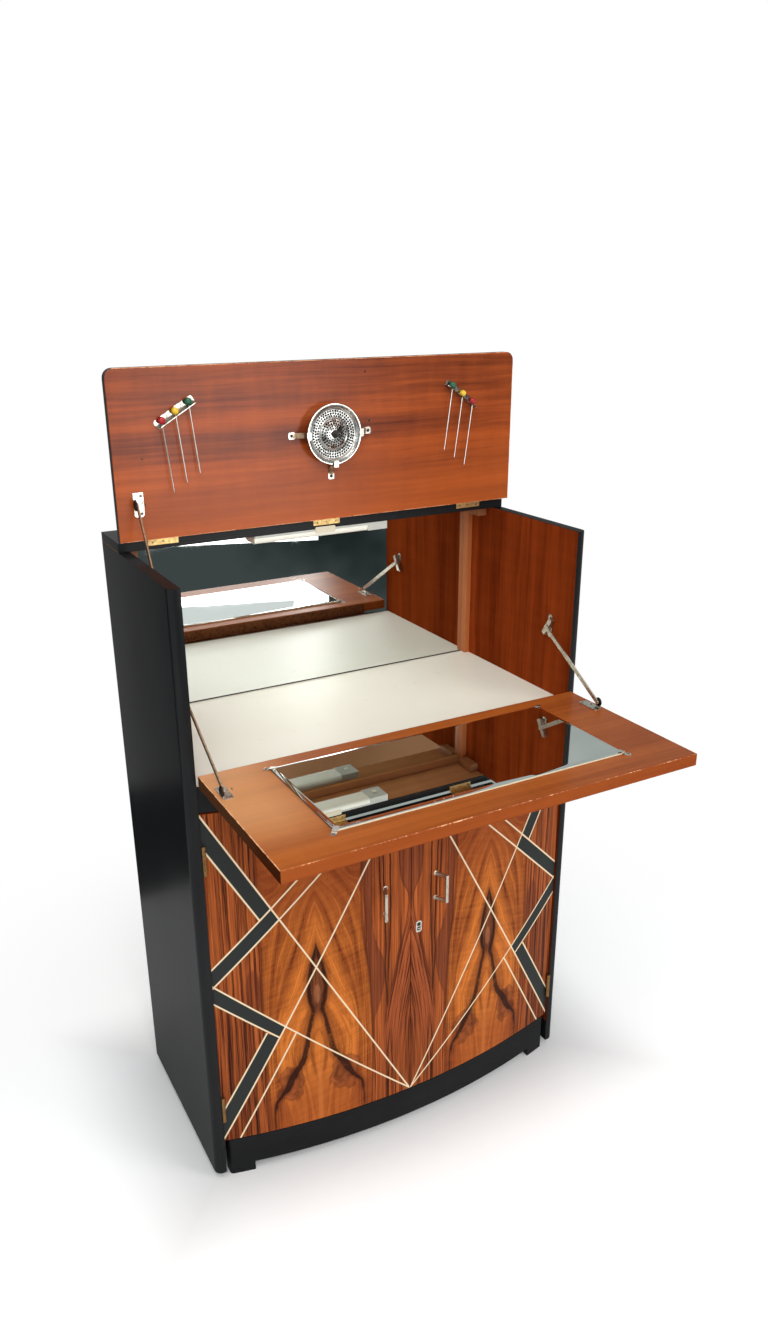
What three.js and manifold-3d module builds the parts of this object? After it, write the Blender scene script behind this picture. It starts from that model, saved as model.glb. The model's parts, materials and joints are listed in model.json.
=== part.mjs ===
// Bar cabinet with a lifting lid, a fold out shelf and a bow fronted cupboard.
// Millimetres, +Z up, the front towards -Y, X = 0 on the middle plane and Z = 0 on the floor.
// The lid stands open, the fold out shelf (the flap) lies open and the doors are shut.

import * as THREE from 'three';
import { mergeVertices } from 'three/addons/utils/BufferGeometryUtils.js';
import Module from 'manifold-3d';

// Case
const cabinetWidth = 800;
const cabinetDepth = 382;
const sideThickness = 20;
const sideLift = 14;
const sideEdgeRadius = 14;
const backThickness = 6;
const backInset = 10;
const barSpaceHeight = 336;
const rearBoardDepth = 111;
const rearBoardThickness = 17;
const fitGap = 0.3;

// Base and boards
const footHeight = 20;
const footWidth = 47;
const plinthHeight = 64;
const plinthThickness = 20;
const plinthSideGap = 9;
const plinthCornerRadius = 8;
const floorThickness = 18;
const innerShelfThickness = 16;
const innerShelfRise = 346;
const innerShelfSetback = 30;
const railHeight = 28;
const railThickness = 20;
const shelfBoardThickness = 18.5;
const laminateThickness = 1.5;
const laminateSetback = 8;

// Bow of the front
const bowRise = 50.5;
const bowEndSetback = 5;
const bowEndGap = 1;

// Bar space
const battenWidth = 12;
const battenDepth = 20;
const blockWidth = 20;
const blockLength = 50;
const blockHeight = 20;
const backMirrorThickness = 5;
const backMirrorTopGap = 2;

// Strip light
const lightLength = 278;
const lightCentreOffset = -10;
const lightDepth = 46;
const lightHeight = 15;
const lightSpineThickness = 4;
const lightEndLength = 42.7;
const lightEdgeRadius = 7;
const switchRadius = 5;
const switchPlay = 0.4;
const switchTravel = 2.5;
const switchProud = 3.5;
const switchSeat = 6;
const lightPlateWidth = 42;
const lightPlateCentre = -5;
const lightPlateThickness = 1.2;
const lightPlateRise = 4;
const lightPlateDrop = 8;
const lightPlateRadius = 3;

// Lid
const lidHingeProud = 2.6;
const lidHingeEdge = 1.2;
const lidHingeInset = 0.4;
const lidSeatGap = 0.5;
const lidOverhang = 14;
const lidCornerRadius = 16;
const lidKnuckleRadius = 2.3;
const lidLeafWidth = 55;
const lidLeafDepth = 10;
const lidLeafThickness = 0.7;
const lidHingeFromEnd = 82;
const lidHingeOffset = -2;

// Juicer on the lid
const juicerRise = 157.4;
const juicerRadius = 54;
const juicerDepth = 20;
const juicerWall = 1.2;
const juicerBaseRadius = 26;
const juicerFlankRadius = 46;
const juicerRimWidth = 5;
const strainerInset = 1;
const strainerSink = 8;
const strainerDishRadius = 39;
const strainerHoleRadius = 1.6;
const domeRadius = 21;
const domeHeight = 7;
const domeShoulder = 12;
const knobRadius = 4.5;
const knobHeight = 5;
const clipWidth = 10;
const clipThickness = 1.4;
const clipHook = 4;
const clipTabInner = 71;
const clipTabOuter = 83;
const clipShoulder = 8;

// Cocktail sticks and their holders on the lid
const holderLength = 80;
const holderHeight = 13;
const holderDepth = 15;
const holderWall = 1.2;
const holderRadius = 5;
const holderHoleRadius = 2.6;
const leftBallFromEnd = 110.6;
const rightBallFromEnd = 120.5;
const ballRise = 212;
const ballSpacing = 28;
const ballRadius = 4.75;
const ballFromLid = 8.5;
const stickLength = 123;
const stickRadius = 1;
const stickPointLength = 6;
const leftHolderTilt = THREE.MathUtils.degToRad(30.5);
const rightHolderTilt = THREE.MathUtils.degToRad(-34.5);
const leftStickLean = THREE.MathUtils.degToRad(5.9);
const rightStickLean = THREE.MathUtils.degToRad(-8.1);

// Flap
const flapThickness = 22;
const flapSideGap = 1.1;
const flapTopGap = 4.6;
const flapHingeProud = 2.5;
const flapHingeEdge = 0.4;
const flapHingeForward = 7.3;
const flapHingeRise = 2.5;
const flapEdgeRadius = 2;
const flapMirrorFromEnd = 108.9;
const flapMirrorDepth = 235;
const flapMirrorThickness = 4.5;
const flapMirrorEdge = 2.5;
const flapMirrorBevel = 8;
const flapMirrorOffset = 2.5;
const flapMirrorSetback = 36;
const pianoHingeLength = 640;
const pianoKnuckleLength = 20;
const pianoKnuckleRadius = 2.2;
const pianoLeafThickness = 0.6;
const pianoLeafDepth = 14.3;

// Stays
const stayPinHeight = 10.5;
const stayPinRadius = 2;
const pivotClearance = 0.08;
const stayRodThickness = 2.5;
const stayRodWidth = 8;
const stayRodFromSide = 10.75;
const stayLayerGap = 0.35;
const stayPlateWidth = 18;
const stayPlateThickness = 1.5;
const stayPlateFromSide = 8;
const stayEarWidth = 10;
const stayEndRadius = 6;
const guideLength = 39;
const guideWidth = 10;
const guideThickness = 8;
const guideFromSide = 2;
const guideRadius = 2;
const guidePinDepth = 6;
const flapPinReach = 89.7;
const flapPlateLength = 46;
const flapPlatePinOffset = 12;
const flapGuideSetback = 66;
const flapGuideRise = 138;
const flapRodTail = 3;
const lidPinReach = 64.7;
const lidPlateLength = 42;
const lidPlatePinOffset = 1.4;
const lidGuideSetback = 175;
const lidGuideDrop = 35;
const lidRodTail = 13.5;

// Doors
const doorHeight = 697.5;
const doorThickness = 19;
const doorBottomGap = 1.5;
const doorTopGap = 3;
const doorSideGap = 1.7;
const doorMeetingGap = 1.5;
const doorAxisFromSide = 4;
const doorKnuckleRadius = 3;
const doorKnuckleLength = 56;
const doorLeafThickness = 1.3;
const doorLeafDepth = 20;
const doorHingeFromTop = 85.5;
const doorHingeFromBottom = 78.5;
const handleRise = 428.5;
const handleLength = 59;
const handleReach = 20;
const handleBarWidth = 6;
const handleBarThickness = 4;
const handleFootX = 54;
const handleSplay = 11;
const lockRise = 379.5;
const lockPlateX = 17;
const lockPlateWidth = 14.5;
const lockPlateHeight = 29.5;
const lockPlateThickness = 1;
const lockPlateRadius = 3;
const keyholeRadius = 1.9;
const keyholeSlotWidth = 2;
const keyholeSlotLength = 7;
const boltLength = 20;
const boltHeight = 10;
const boltThickness = 2.6;
const boltTravel = 7;
const boltPlay = 0.3;

// Facets of round work
const bowSteps = 24;
const cornerSteps = 6;
const circleSteps = 24;
const bowlSteps = 36;
const pianoKnuckleSteps = 12;
const holeSteps = 8;

// Shares of other sizes
const roundShare = 0.98;
const strainerRingShares = [0.22, 0.5, 0.78];
const strainerHolePitchShare = 6.5;

// Levels and faces that the pieces share
const halfWidth = cabinetWidth / 2;
const innerHalfWidth = halfWidth - sideThickness;
const backFaceY = cabinetDepth - backInset - backThickness;
const plinthTop = footHeight + plinthHeight;
const doorBottom = plinthTop + doorBottomGap;
const doorTop = doorBottom + doorHeight;
const railBottom = doorTop + doorTopGap;
const railTop = railBottom + railHeight;
const boardTop = railTop + shelfBoardThickness;
const worktopLevel = boardTop + laminateThickness;
const caseTop = worktopLevel + barSpaceHeight;
const rearBoardFrontY = cabinetDepth - rearBoardDepth;
const battenFrontY = backFaceY - battenDepth;

const bowHalfChord = innerHalfWidth - bowEndGap;
const bowRadius = (bowHalfChord ** 2 + bowRise ** 2) / (2 * bowRise);
const bowCentreY = bowEndSetback - bowRise + bowRadius;

const lidAxisY = rearBoardFrontY - lidHingeInset;
const lidAxisZ = caseTop + rearBoardThickness + lidHingeProud;
const lidThickness = rearBoardThickness - lidSeatGap;
const lidLength = lidAxisY - lidHingeEdge + lidOverhang;
const lidFaceY = -lidHingeProud - lidThickness;

const flapAxisY = -flapHingeForward;
const flapAxisZ = boardTop + flapHingeRise;
const flapLength = caseTop - flapTopGap - flapAxisZ - flapHingeEdge;
const flapTop = flapHingeProud + flapThickness;

const doorAxisX = innerHalfWidth - doorAxisFromSide;

// The ends of each stay, seen from the side as (y, z)
const flapPin = new THREE.Vector2(flapAxisY - flapPinReach, flapAxisZ + flapTop + stayPinHeight);
const flapGuide = new THREE.Vector2(flapGuideSetback, worktopLevel + flapGuideRise);
const flapRodLine = flapGuide.clone().sub(flapPin);
const lidPin = new THREE.Vector2(lidAxisY + lidFaceY - stayPinHeight, lidAxisZ + lidPinReach);
const lidGuide = new THREE.Vector2(lidGuideSetback, caseTop - lidGuideDrop);
const lidRodLine = lidGuide.clone().sub(lidPin);

// Layers of a stay, as distances from the middle plane
const rodOuterX = innerHalfWidth - stayRodFromSide;
const rodInnerX = rodOuterX - stayRodThickness;
const earInnerX = rodOuterX + stayLayerGap;
const earOuterX = earInnerX + stayPlateThickness;

const blackPaint = { color: 0x2a2b2d, roughness: 0.38, metalness: 0 };
const mahogany = { color: 0x8a4a26, roughness: 0.42, metalness: 0 };
const paleWood = { color: 0xb98a55, roughness: 0.6, metalness: 0 };
const amberWood = { color: 0xa86a2e, roughness: 0.6, metalness: 0 };
const figuredVeneer = { color: 0x9c5a24, roughness: 0.28, metalness: 0 };
const creamLaminate = { color: 0xe3e0cf, roughness: 0.35, metalness: 0 };
const mirrorGlass = { color: 0xc9cdce, roughness: 0.04, metalness: 1 };
const brass = { color: 0xb08d4a, roughness: 0.35, metalness: 1 };
const chrome = { color: 0xcfd2d4, roughness: 0.14, metalness: 1 };
const nickel = { color: 0xb7b9b6, roughness: 0.3, metalness: 1 };
const whitePlastic = { color: 0xefeee8, roughness: 0.4, metalness: 0 };
const greyPlastic = { color: 0xb9bab6, roughness: 0.45, metalness: 0 };
const darkSteel = { color: 0x55524e, roughness: 0.4, metalness: 1 };
const redPlastic = { color: 0xb3261c, roughness: 0.25, metalness: 0 };
const yellowPlastic = { color: 0xe0b52c, roughness: 0.25, metalness: 0 };
const greenPlastic = { color: 0x2f6b3a, roughness: 0.25, metalness: 0 };

const wasm = await Module();
wasm.setup();

// The points of an outline through corners [x, y, radius], with the corners rounded.
function outlinePoints(corners) {
  const points = [];
  corners.forEach(([x, y, radius = 0], index) => {
    const corner = new THREE.Vector2(x, y);
    if (radius === 0) {
      points.push(corner);
      return;
    }
    const [lastX, lastY] = corners[(index + corners.length - 1) % corners.length];
    const [nextX, nextY] = corners[(index + 1) % corners.length];
    const back = new THREE.Vector2(lastX, lastY).sub(corner).normalize();
    const ahead = new THREE.Vector2(nextX, nextY).sub(corner).normalize();
    const halfAngle = Math.acos(back.dot(ahead)) / 2;
    const centre = back.clone().add(ahead).setLength(radius / Math.sin(halfAngle)).add(corner);
    const start = back.clone().multiplyScalar(radius / Math.tan(halfAngle)).add(corner).sub(centre);
    const turn = Math.sign(ahead.cross(back)) * (Math.PI - 2 * halfAngle);
    for (let step = 0; step <= cornerSteps; step += 1) {
      const spoke = start.clone().rotateAround(new THREE.Vector2(), (turn * step) / cornerSteps);
      points.push(spoke.add(centre));
    }
  });
  return points;
}

// The same outline on the right (hand 1) or mirrored to the left (hand -1).
function handed(hand, corners) {
  return corners.map(([x, y, radius]) => [hand * x, y, radius]);
}

function circlePoints(u, v, radius, steps = circleSteps) {
  return new THREE.Path().absarc(u, v, radius, 0, 2 * Math.PI).getPoints(steps / 2).slice(1);
}

function circle(u, v, radius) {
  return new THREE.Path(circlePoints(u, v, radius));
}

// A shape swept along x, y or z between two places. Its own two coordinates are
// (y, z) when it is swept along x, (z, x) along y and (x, y) along z.
function sweep(axis, from, to, shape) {
  const start = Math.min(from, to);
  const end = Math.max(from, to);
  const geometry = new THREE.ExtrudeGeometry(shape, { depth: end - start, bevelEnabled: false });
  const position = geometry.attributes.position;
  for (let index = 0; index < position.count; index += 1) {
    const u = position.getX(index);
    const v = position.getY(index);
    const w = position.getZ(index) > 0 ? end : start;
    const place = { x: [w, u, v], y: [v, w, u], z: [u, v, w] }[axis];
    position.setXYZ(index, ...place);
  }
  geometry.computeVertexNormals();
  return geometry;
}

function plate(axis, from, to, corners, holes = []) {
  const shape = new THREE.Shape(outlinePoints(corners));
  shape.holes.push(...holes);
  return sweep(axis, from, to, shape);
}

function disc(axis, from, to, u, v, radius, steps = circleSteps) {
  return sweep(axis, from, to, new THREE.Shape(circlePoints(u, v, radius, steps)));
}

function box(x0, x1, y0, y1, z0, z1) {
  const geometry = new THREE.BoxGeometry();
  const position = geometry.attributes.position;
  for (let index = 0; index < position.count; index += 1) {
    const x = position.getX(index) > 0 ? Math.max(x0, x1) : Math.min(x0, x1);
    const y = position.getY(index) > 0 ? y1 : y0;
    const z = position.getZ(index) > 0 ? z1 : z0;
    position.setXYZ(index, x, y, z);
  }
  return geometry;
}

// A body turned round the y axis from points [radius, height]. Height runs to the front.
function turned(profile, steps) {
  const points = profile.map(([radius, height]) => new THREE.Vector2(radius, -height)).reverse();
  return new THREE.LatheGeometry(points, steps);
}

function solid(geometry) {
  const bare = geometry.clone();
  bare.deleteAttribute('normal');
  bare.deleteAttribute('uv');
  const merged = mergeVertices(bare);
  const corners = merged.index.array;
  const triVerts = [];
  for (let index = 0; index < corners.length; index += 3) {
    const [a, b, c] = corners.slice(index, index + 3);
    if (a !== b && b !== c && c !== a) {
      triVerts.push(a, b, c);
    }
  }
  const vertProperties = merged.attributes.position.array;
  const mesh = new wasm.Mesh({ numProp: 3, vertProperties, triVerts: new Uint32Array(triVerts) });
  return new wasm.Manifold(mesh);
}

function geometryOf(body) {
  const mesh = body.getMesh();
  const geometry = new THREE.BufferGeometry();
  geometry.setAttribute('position', new THREE.BufferAttribute(mesh.vertProperties, 3));
  geometry.setIndex(new THREE.BufferAttribute(mesh.triVerts, 1));
  geometry.computeVertexNormals();
  return geometry;
}

function join(first, ...others) {
  return geometryOf(others.reduce((body, other) => body.add(solid(other)), solid(first)));
}

function cut(first, ...others) {
  return geometryOf(others.reduce((body, other) => body.subtract(solid(other)), solid(first)));
}

function addPiece(group, name, geometry, look) {
  const mesh = new THREE.Mesh(geometry, new THREE.MeshStandardMaterial(look));
  mesh.name = name;
  group.add(mesh);
  return mesh;
}

// A group at a place, turned about the x axis.
function subGroup(parent, x, y, z, turnX = 0) {
  const group = new THREE.Group();
  group.position.set(x, y, z);
  group.rotation.x = turnX;
  parent.add(group);
  return group;
}

// The bow of the front: the y of its face, or of the face an inset behind it.
function bowY(x, inset = 0) {
  return bowCentreY - Math.sqrt((bowRadius - inset) ** 2 - x ** 2);
}

function bowCorners(fromX, toX, inset = 0) {
  return Array.from({ length: bowSteps + 1 }, (_, step) => {
    const x = fromX + ((toX - fromX) * step) / bowSteps;
    return [x, bowY(x, inset)];
  });
}

function sidePanel(hand) {
  const plan = handed(hand, [
    [innerHalfWidth, 0],
    [halfWidth, 0, sideEdgeRadius],
    [halfWidth, cabinetDepth],
    [innerHalfWidth, cabinetDepth],
  ]);
  const guides = hand < 0 ? [flapGuide, lidGuide] : [flapGuide];
  const inside = hand * (innerHalfWidth - fitGap);
  const deep = hand * (innerHalfWidth + guidePinDepth + fitGap);
  const radius = stayPinRadius + pivotClearance;
  const bores = guides.map((guide) => disc('x', inside, deep, guide.x, guide.y, radius));
  return cut(plate('z', sideLift, caseTop, plan), ...bores);
}

function shelfBoard() {
  const front = bowCorners(-bowHalfChord, bowHalfChord);
  return plate('z', railTop, boardTop, [
    [-innerHalfWidth, bowEndSetback],
    ...front,
    [innerHalfWidth, bowEndSetback],
    [innerHalfWidth, backFaceY],
    [-innerHalfWidth, backFaceY],
  ]);
}

function bowRail() {
  return plate('z', railBottom, railTop, [
    [-innerHalfWidth, bowEndSetback],
    ...bowCorners(-bowHalfChord, bowHalfChord),
    [innerHalfWidth, bowEndSetback],
    ...bowCorners(innerHalfWidth, -innerHalfWidth, railThickness),
  ]);
}

function cupboardFloor() {
  return plate('z', plinthTop - floorThickness, plinthTop, [
    ...bowCorners(-innerHalfWidth, innerHalfWidth, plinthThickness + fitGap),
    [innerHalfWidth, backFaceY],
    [-innerHalfWidth, backFaceY],
  ]);
}

function frontPlinth() {
  const end = innerHalfWidth - plinthSideGap;
  const front = bowCorners(-end, end);
  front[0].push(plinthCornerRadius);
  front.at(-1).push(plinthCornerRadius);
  const strip = [...front, ...bowCorners(end, -end, plinthThickness)];
  const body = plate('z', 0, plinthTop, strip);
  const opening = end - footWidth;
  const clear = plinthThickness + bowRise;
  return cut(body, box(-opening, opening, bowY(0) - clear, bowY(0) + 2 * clear, -footHeight, footHeight));
}

function rearPlinth() {
  const end = innerHalfWidth - plinthSideGap;
  const frontY = backFaceY - plinthThickness;
  const rail = box(-end, end, frontY, backFaceY, footHeight, plinthTop - floorThickness);
  const feet = [-1, 1].map((hand) =>
    box(hand * end, hand * (end - footWidth), frontY, backFaceY, 0, footHeight + floorThickness));
  return join(rail, ...feet);
}

function addCase(cabinet) {
  addPiece(cabinet, 'side_left', sidePanel(-1), blackPaint);
  addPiece(cabinet, 'side_right', sidePanel(1), blackPaint);
  const back = box(-innerHalfWidth, innerHalfWidth, backFaceY, backFaceY + backThickness, footHeight, caseTop);
  addPiece(cabinet, 'back_panel', back, paleWood);
  const rearBoard = box(-halfWidth, halfWidth, rearBoardFrontY, cabinetDepth, caseTop, caseTop + rearBoardThickness);
  addPiece(cabinet, 'rear_top_board', rearBoard, blackPaint);
  addPiece(cabinet, 'bow_shelf_board', shelfBoard(), blackPaint);
  const worktop = box(-innerHalfWidth, innerHalfWidth, laminateSetback, backFaceY, boardTop, worktopLevel);
  addPiece(cabinet, 'cream_worktop', worktop, creamLaminate);
  addPiece(cabinet, 'bow_rail', bowRail(), blackPaint);
  addPiece(cabinet, 'cupboard_floor', cupboardFloor(), mahogany);
  const shelfBottom = plinthTop + innerShelfRise;
  const shelfTop = shelfBottom + innerShelfThickness;
  const shelf = box(-innerHalfWidth, innerHalfWidth, innerShelfSetback, backFaceY, shelfBottom, shelfTop);
  addPiece(cabinet, 'cupboard_shelf', shelf, mahogany);
  addPiece(cabinet, 'plinth_front', frontPlinth(), blackPaint);
  addPiece(cabinet, 'plinth_rear', rearPlinth(), blackPaint);
}

// The mirror behind the bar space, between two battens, with a block before each batten.
function addBarBack(cabinet) {
  const battenInnerX = innerHalfWidth - battenWidth;
  [['left', -1], ['right', 1]].forEach(([side, hand]) => {
    const outer = hand * innerHalfWidth;
    const batten = box(outer, hand * battenInnerX, battenFrontY, backFaceY, worktopLevel, caseTop);
    addPiece(cabinet, `corner_batten_${side}`, batten, paleWood);
    const blockInnerX = hand * (innerHalfWidth - blockWidth);
    const block = box(outer, blockInnerX, battenFrontY - blockLength, battenFrontY, caseTop - blockHeight, caseTop);
    addPiece(cabinet, `glue_block_${side}`, block, amberWood);
  });
  const mirrorHalf = battenInnerX - fitGap;
  const mirrorTop = caseTop - backMirrorTopGap;
  const mirrorFront = backFaceY - backMirrorThickness;
  const mirror = box(-mirrorHalf, mirrorHalf, mirrorFront, backFaceY, worktopLevel, mirrorTop);
  addPiece(cabinet, 'back_mirror', mirror, mirrorGlass);
}

// The strip light hangs under the front of the rear board.
function addLight(cabinet) {
  const left = lightCentreOffset - lightLength / 2;
  const right = left + lightLength;
  const frontY = rearBoardFrontY;
  const rearY = frontY + lightDepth;
  const bottom = caseTop - lightHeight;
  const spineBottom = caseTop - lightSpineThickness;
  const endLeft = right - lightEndLength;
  const switchX = right - lightEndLength / 2;
  const switchY = frontY + lightDepth / 2;
  const pocketRadius = switchRadius + switchPlay;
  const pocketTop = bottom + switchSeat + switchTravel + fitGap;
  const spine = box(left, right, frontY, rearY, spineBottom, caseTop);
  const end = box(endLeft, right, frontY, rearY, bottom, caseTop);
  const pocket = disc('z', bottom - switchProud, pocketTop, switchX, switchY, pocketRadius);
  addPiece(cabinet, 'light_housing', cut(join(spine, end), pocket), greyPlastic);
  const diffuser = plate('x', left, endLeft - fitGap, [
    [frontY, bottom, lightEdgeRadius],
    [rearY, bottom, lightEdgeRadius],
    [rearY, spineBottom],
    [frontY, spineBottom],
  ]);
  addPiece(cabinet, 'light_diffuser', diffuser, whitePlastic);
  const button = disc('z', bottom - switchProud, bottom + switchSeat, switchX, switchY, switchRadius);
  addPiece(cabinet, 'light_switch', button, whitePlastic);
  const plateLeft = lightPlateCentre - lightPlateWidth / 2;
  const bracket = plate('y', rearBoardFrontY - lightPlateThickness, rearBoardFrontY, [
    [caseTop - lightPlateDrop, plateLeft, lightPlateRadius],
    [caseTop + lightPlateRise, plateLeft, lightPlateRadius],
    [caseTop + lightPlateRise, plateLeft + lightPlateWidth, lightPlateRadius],
    [caseTop - lightPlateDrop, plateLeft + lightPlateWidth, lightPlateRadius],
  ]);
  addPiece(cabinet, 'light_bracket', bracket, creamLaminate);
}

// A pressed bracket that carries a stay's pin: a flat plate, an ear that stands on it
// and the pin. The pin's axis is x = 0's line at the group's origin; the plate lies
// below it along y. The end of the plate past the pin is rounded.
function stayBracket(hand, length, pinOffset) {
  const bottom = -stayPinHeight;
  const top = bottom + stayPlateThickness;
  const nearY = pinOffset - length / 2;
  const farY = nearY + length;
  const outerX = innerHalfWidth - stayPlateFromSide;
  const innerX = outerX - stayPlateWidth;
  const flat = plate('z', bottom, top, handed(hand, [
    [innerX, nearY, stayEndRadius],
    [outerX, nearY, stayEndRadius],
    [outerX, farY],
    [innerX, farY],
  ]));
  const ear = plate('x', hand * earInnerX, hand * earOuterX, [
    [-stayEarWidth / 2, bottom],
    [stayEarWidth / 2, bottom],
    [stayEarWidth / 2, stayEarWidth / 2, stayEarWidth / 3],
    [-stayEarWidth / 2, stayEarWidth / 2, stayEarWidth / 3],
  ]);
  const pin = disc('x', hand * (rodInnerX - stayLayerGap), hand * earOuterX, 0, 0, stayPinRadius);
  return join(flat, ear, pin);
}

// A flat rod that runs along y from the pin at the origin.
function stayRod(hand, length) {
  const half = stayRodWidth / 2;
  const eye = circle(0, 0, stayPinRadius + pivotClearance);
  return plate('x', hand * rodInnerX, hand * rodOuterX, [
    [-half, -half, half * roundShare],
    [length, -half, half * roundShare],
    [length, half, half * roundShare],
    [-half, half, half * roundShare],
  ], [eye]);
}

// The block that the rod slides past, on a pin in the case side.
function stayGuide(hand) {
  const outerX = innerHalfWidth - guideFromSide;
  const block = plate('x', hand * (outerX - guideThickness), hand * outerX, [
    [-guideWidth / 2, -guideLength / 2, guideRadius],
    [guideWidth / 2, -guideLength / 2, guideRadius],
    [guideWidth / 2, guideLength / 2, guideRadius],
    [-guideWidth / 2, guideLength / 2, guideRadius],
  ]);
  const middleX = outerX - guideThickness / 2;
  const pin = disc('x', hand * middleX, hand * (innerHalfWidth + guidePinDepth), 0, 0, stayPinRadius);
  return join(block, pin);
}

function addLidHinges(cabinet) {
  [['left', -1], ['middle', 0], ['right', 1]].forEach(([side, place]) => {
    const middle = place * (halfWidth - lidHingeFromEnd) + lidHingeOffset;
    const left = middle - lidLeafWidth / 2;
    const right = left + lidLeafWidth;
    const bottom = caseTop + rearBoardThickness - lidLeafDepth;
    const leaf = box(left, right, rearBoardFrontY - lidLeafThickness, rearBoardFrontY, bottom, lidAxisZ);
    const knuckle = disc('x', left, right, lidAxisY, lidAxisZ, lidKnuckleRadius);
    addPiece(cabinet, `lid_hinge_${side}`, join(leaf, knuckle), brass);
  });
}

function lidPanel() {
  const top = lidHingeEdge + lidLength;
  return plate('y', lidFaceY, -lidHingeProud, [
    [lidHingeEdge, -halfWidth],
    [top, -halfWidth, lidCornerRadius],
    [top, halfWidth, lidCornerRadius],
    [lidHingeEdge, halfWidth],
  ]);
}

// The outline of a strip of even thickness that runs along the left of a path.
function stripCorners(path, thickness) {
  const points = path.map(([x, y]) => new THREE.Vector2(x, y));
  const runs = points.slice(1).map((point, index) => point.clone().sub(points[index]).normalize());
  const far = points.map((point, index) => {
    const before = runs[Math.max(index - 1, 0)];
    const after = runs[Math.min(index, runs.length - 1)];
    const middle = before.clone().add(after).normalize();
    const reach = thickness / middle.dot(after);
    return [point.x - middle.y * reach, point.y + middle.x * reach];
  });
  return [...path, ...far.reverse()];
}

// A shallow bowl with a flat rim, standing on the lid's face.
function juicerBowl() {
  const rimTop = juicerDepth + juicerWall;
  const rimInner = juicerRadius - juicerRimWidth;
  return turned([
    [0, 0],
    [juicerBaseRadius, 0],
    [juicerFlankRadius, juicerDepth / 2],
    [rimInner + juicerWall, juicerDepth],
    [juicerRadius, juicerDepth],
    [juicerRadius, rimTop],
    [rimInner, rimTop],
    [juicerFlankRadius - juicerWall, juicerDepth / 2 + juicerWall],
    [juicerBaseRadius, juicerWall],
    [0, juicerWall],
  ], bowlSteps);
}

// The strainer hangs in the bowl's rim: a flange, a sunken ring with holes, a dome and a knob.
function juicerStrainer() {
  const seat = juicerDepth + juicerWall;
  const ring = seat - strainerSink;
  const rimInner = juicerRadius - juicerRimWidth - strainerInset;
  const dome = ring + domeHeight;
  const knob = dome + knobHeight;
  const body = turned([
    [0, dome - juicerWall],
    [domeShoulder - juicerWall, dome - juicerWall],
    [domeRadius - juicerWall, ring],
    [strainerDishRadius, ring],
    [rimInner, seat],
    [juicerRadius - strainerInset, seat],
    [juicerRadius - strainerInset, seat + juicerWall],
    [rimInner - juicerWall, seat + juicerWall],
    [strainerDishRadius - juicerWall, ring + juicerWall],
    [domeRadius, ring + juicerWall],
    [domeShoulder, dome],
    [knobRadius, dome],
    [knobRadius, knob],
    [0, knob],
  ], bowlSteps);
  const room = strainerDishRadius - domeRadius;
  const holes = [];
  strainerRingShares.forEach((share, ringIndex) => {
    const radius = domeRadius + room * share;
    const count = Math.floor((2 * Math.PI * radius) / (strainerHolePitchShare * strainerHoleRadius));
    for (let index = 0; index < count; index += 1) {
      const angle = ((index + ringIndex / 2) / count) * 2 * Math.PI;
      const u = radius * Math.cos(angle);
      const v = radius * Math.sin(angle);
      holes.push(disc('y', -ring - 2 * juicerWall, -ring + juicerWall, u, v, strainerHoleRadius, holeSteps));
    }
  });
  return cut(body, ...holes);
}

// A clip from a tab on the lid up the bowl's side and over the strainer's edge.
function juicerClip() {
  const inner = juicerRadius + fitGap;
  const over = -(juicerDepth + 2 * juicerWall + fitGap);
  const path = [
    [clipTabOuter, 0],
    [clipTabInner, 0],
    [inner, -clipShoulder],
    [inner, over],
    [inner - clipHook, over],
  ];
  return plate('z', -clipWidth / 2, clipWidth / 2, stripCorners(path, clipThickness));
}

function addJuicer(lid) {
  const juicer = subGroup(lid, 0, lidFaceY, juicerRise);
  addPiece(juicer, 'juicer_bowl', juicerBowl(), chrome);
  addPiece(juicer, 'juicer_strainer', juicerStrainer(), chrome);
  [['right', 0], ['bottom', 1], ['left', 2]].forEach(([side, quarter]) => {
    const clip = addPiece(juicer, `juicer_clip_${side}`, juicerClip(), nickel);
    clip.rotation.y = (quarter * Math.PI) / 2;
  });
}

// How far along the holder each stick's hole lies from the foot of its ball.
function holeShift(angle) {
  return -Math.tan(angle) * (ballRadius + fitGap + holderWall / 2);
}

// An angle strip with rounded ends: its back lies on the lid, the sticks hang through its shelf.
function stickHolder(angle) {
  const end = holderLength / 2;
  const back = plate('y', -holderWall, 0, [
    [0, -end],
    [holderHeight, -end, holderRadius],
    [holderHeight, end, holderRadius],
    [0, end],
  ]);
  const holes = [-1, 0, 1].map((place) =>
    circle(place * ballSpacing + holeShift(angle), -ballFromLid, holderHoleRadius));
  const shelf = plate('z', 0, holderWall, [
    [-end, 0],
    [-end, -holderDepth, holderRadius],
    [end, -holderDepth, holderRadius],
    [end, 0],
  ], holes);
  return join(back, shelf);
}

function cocktailStick() {
  const ball = new THREE.SphereGeometry(ballRadius, circleSteps, cornerSteps * 2);
  const shank = disc('z', -stickLength + stickPointLength, 0, 0, 0, stickRadius, pianoKnuckleSteps);
  const point = new THREE.ConeGeometry(stickRadius, stickPointLength, pianoKnuckleSteps);
  point.rotateX(-Math.PI / 2);
  point.translate(0, 0, -stickLength + stickPointLength / 2);
  return join(ball, shank, point);
}

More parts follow.
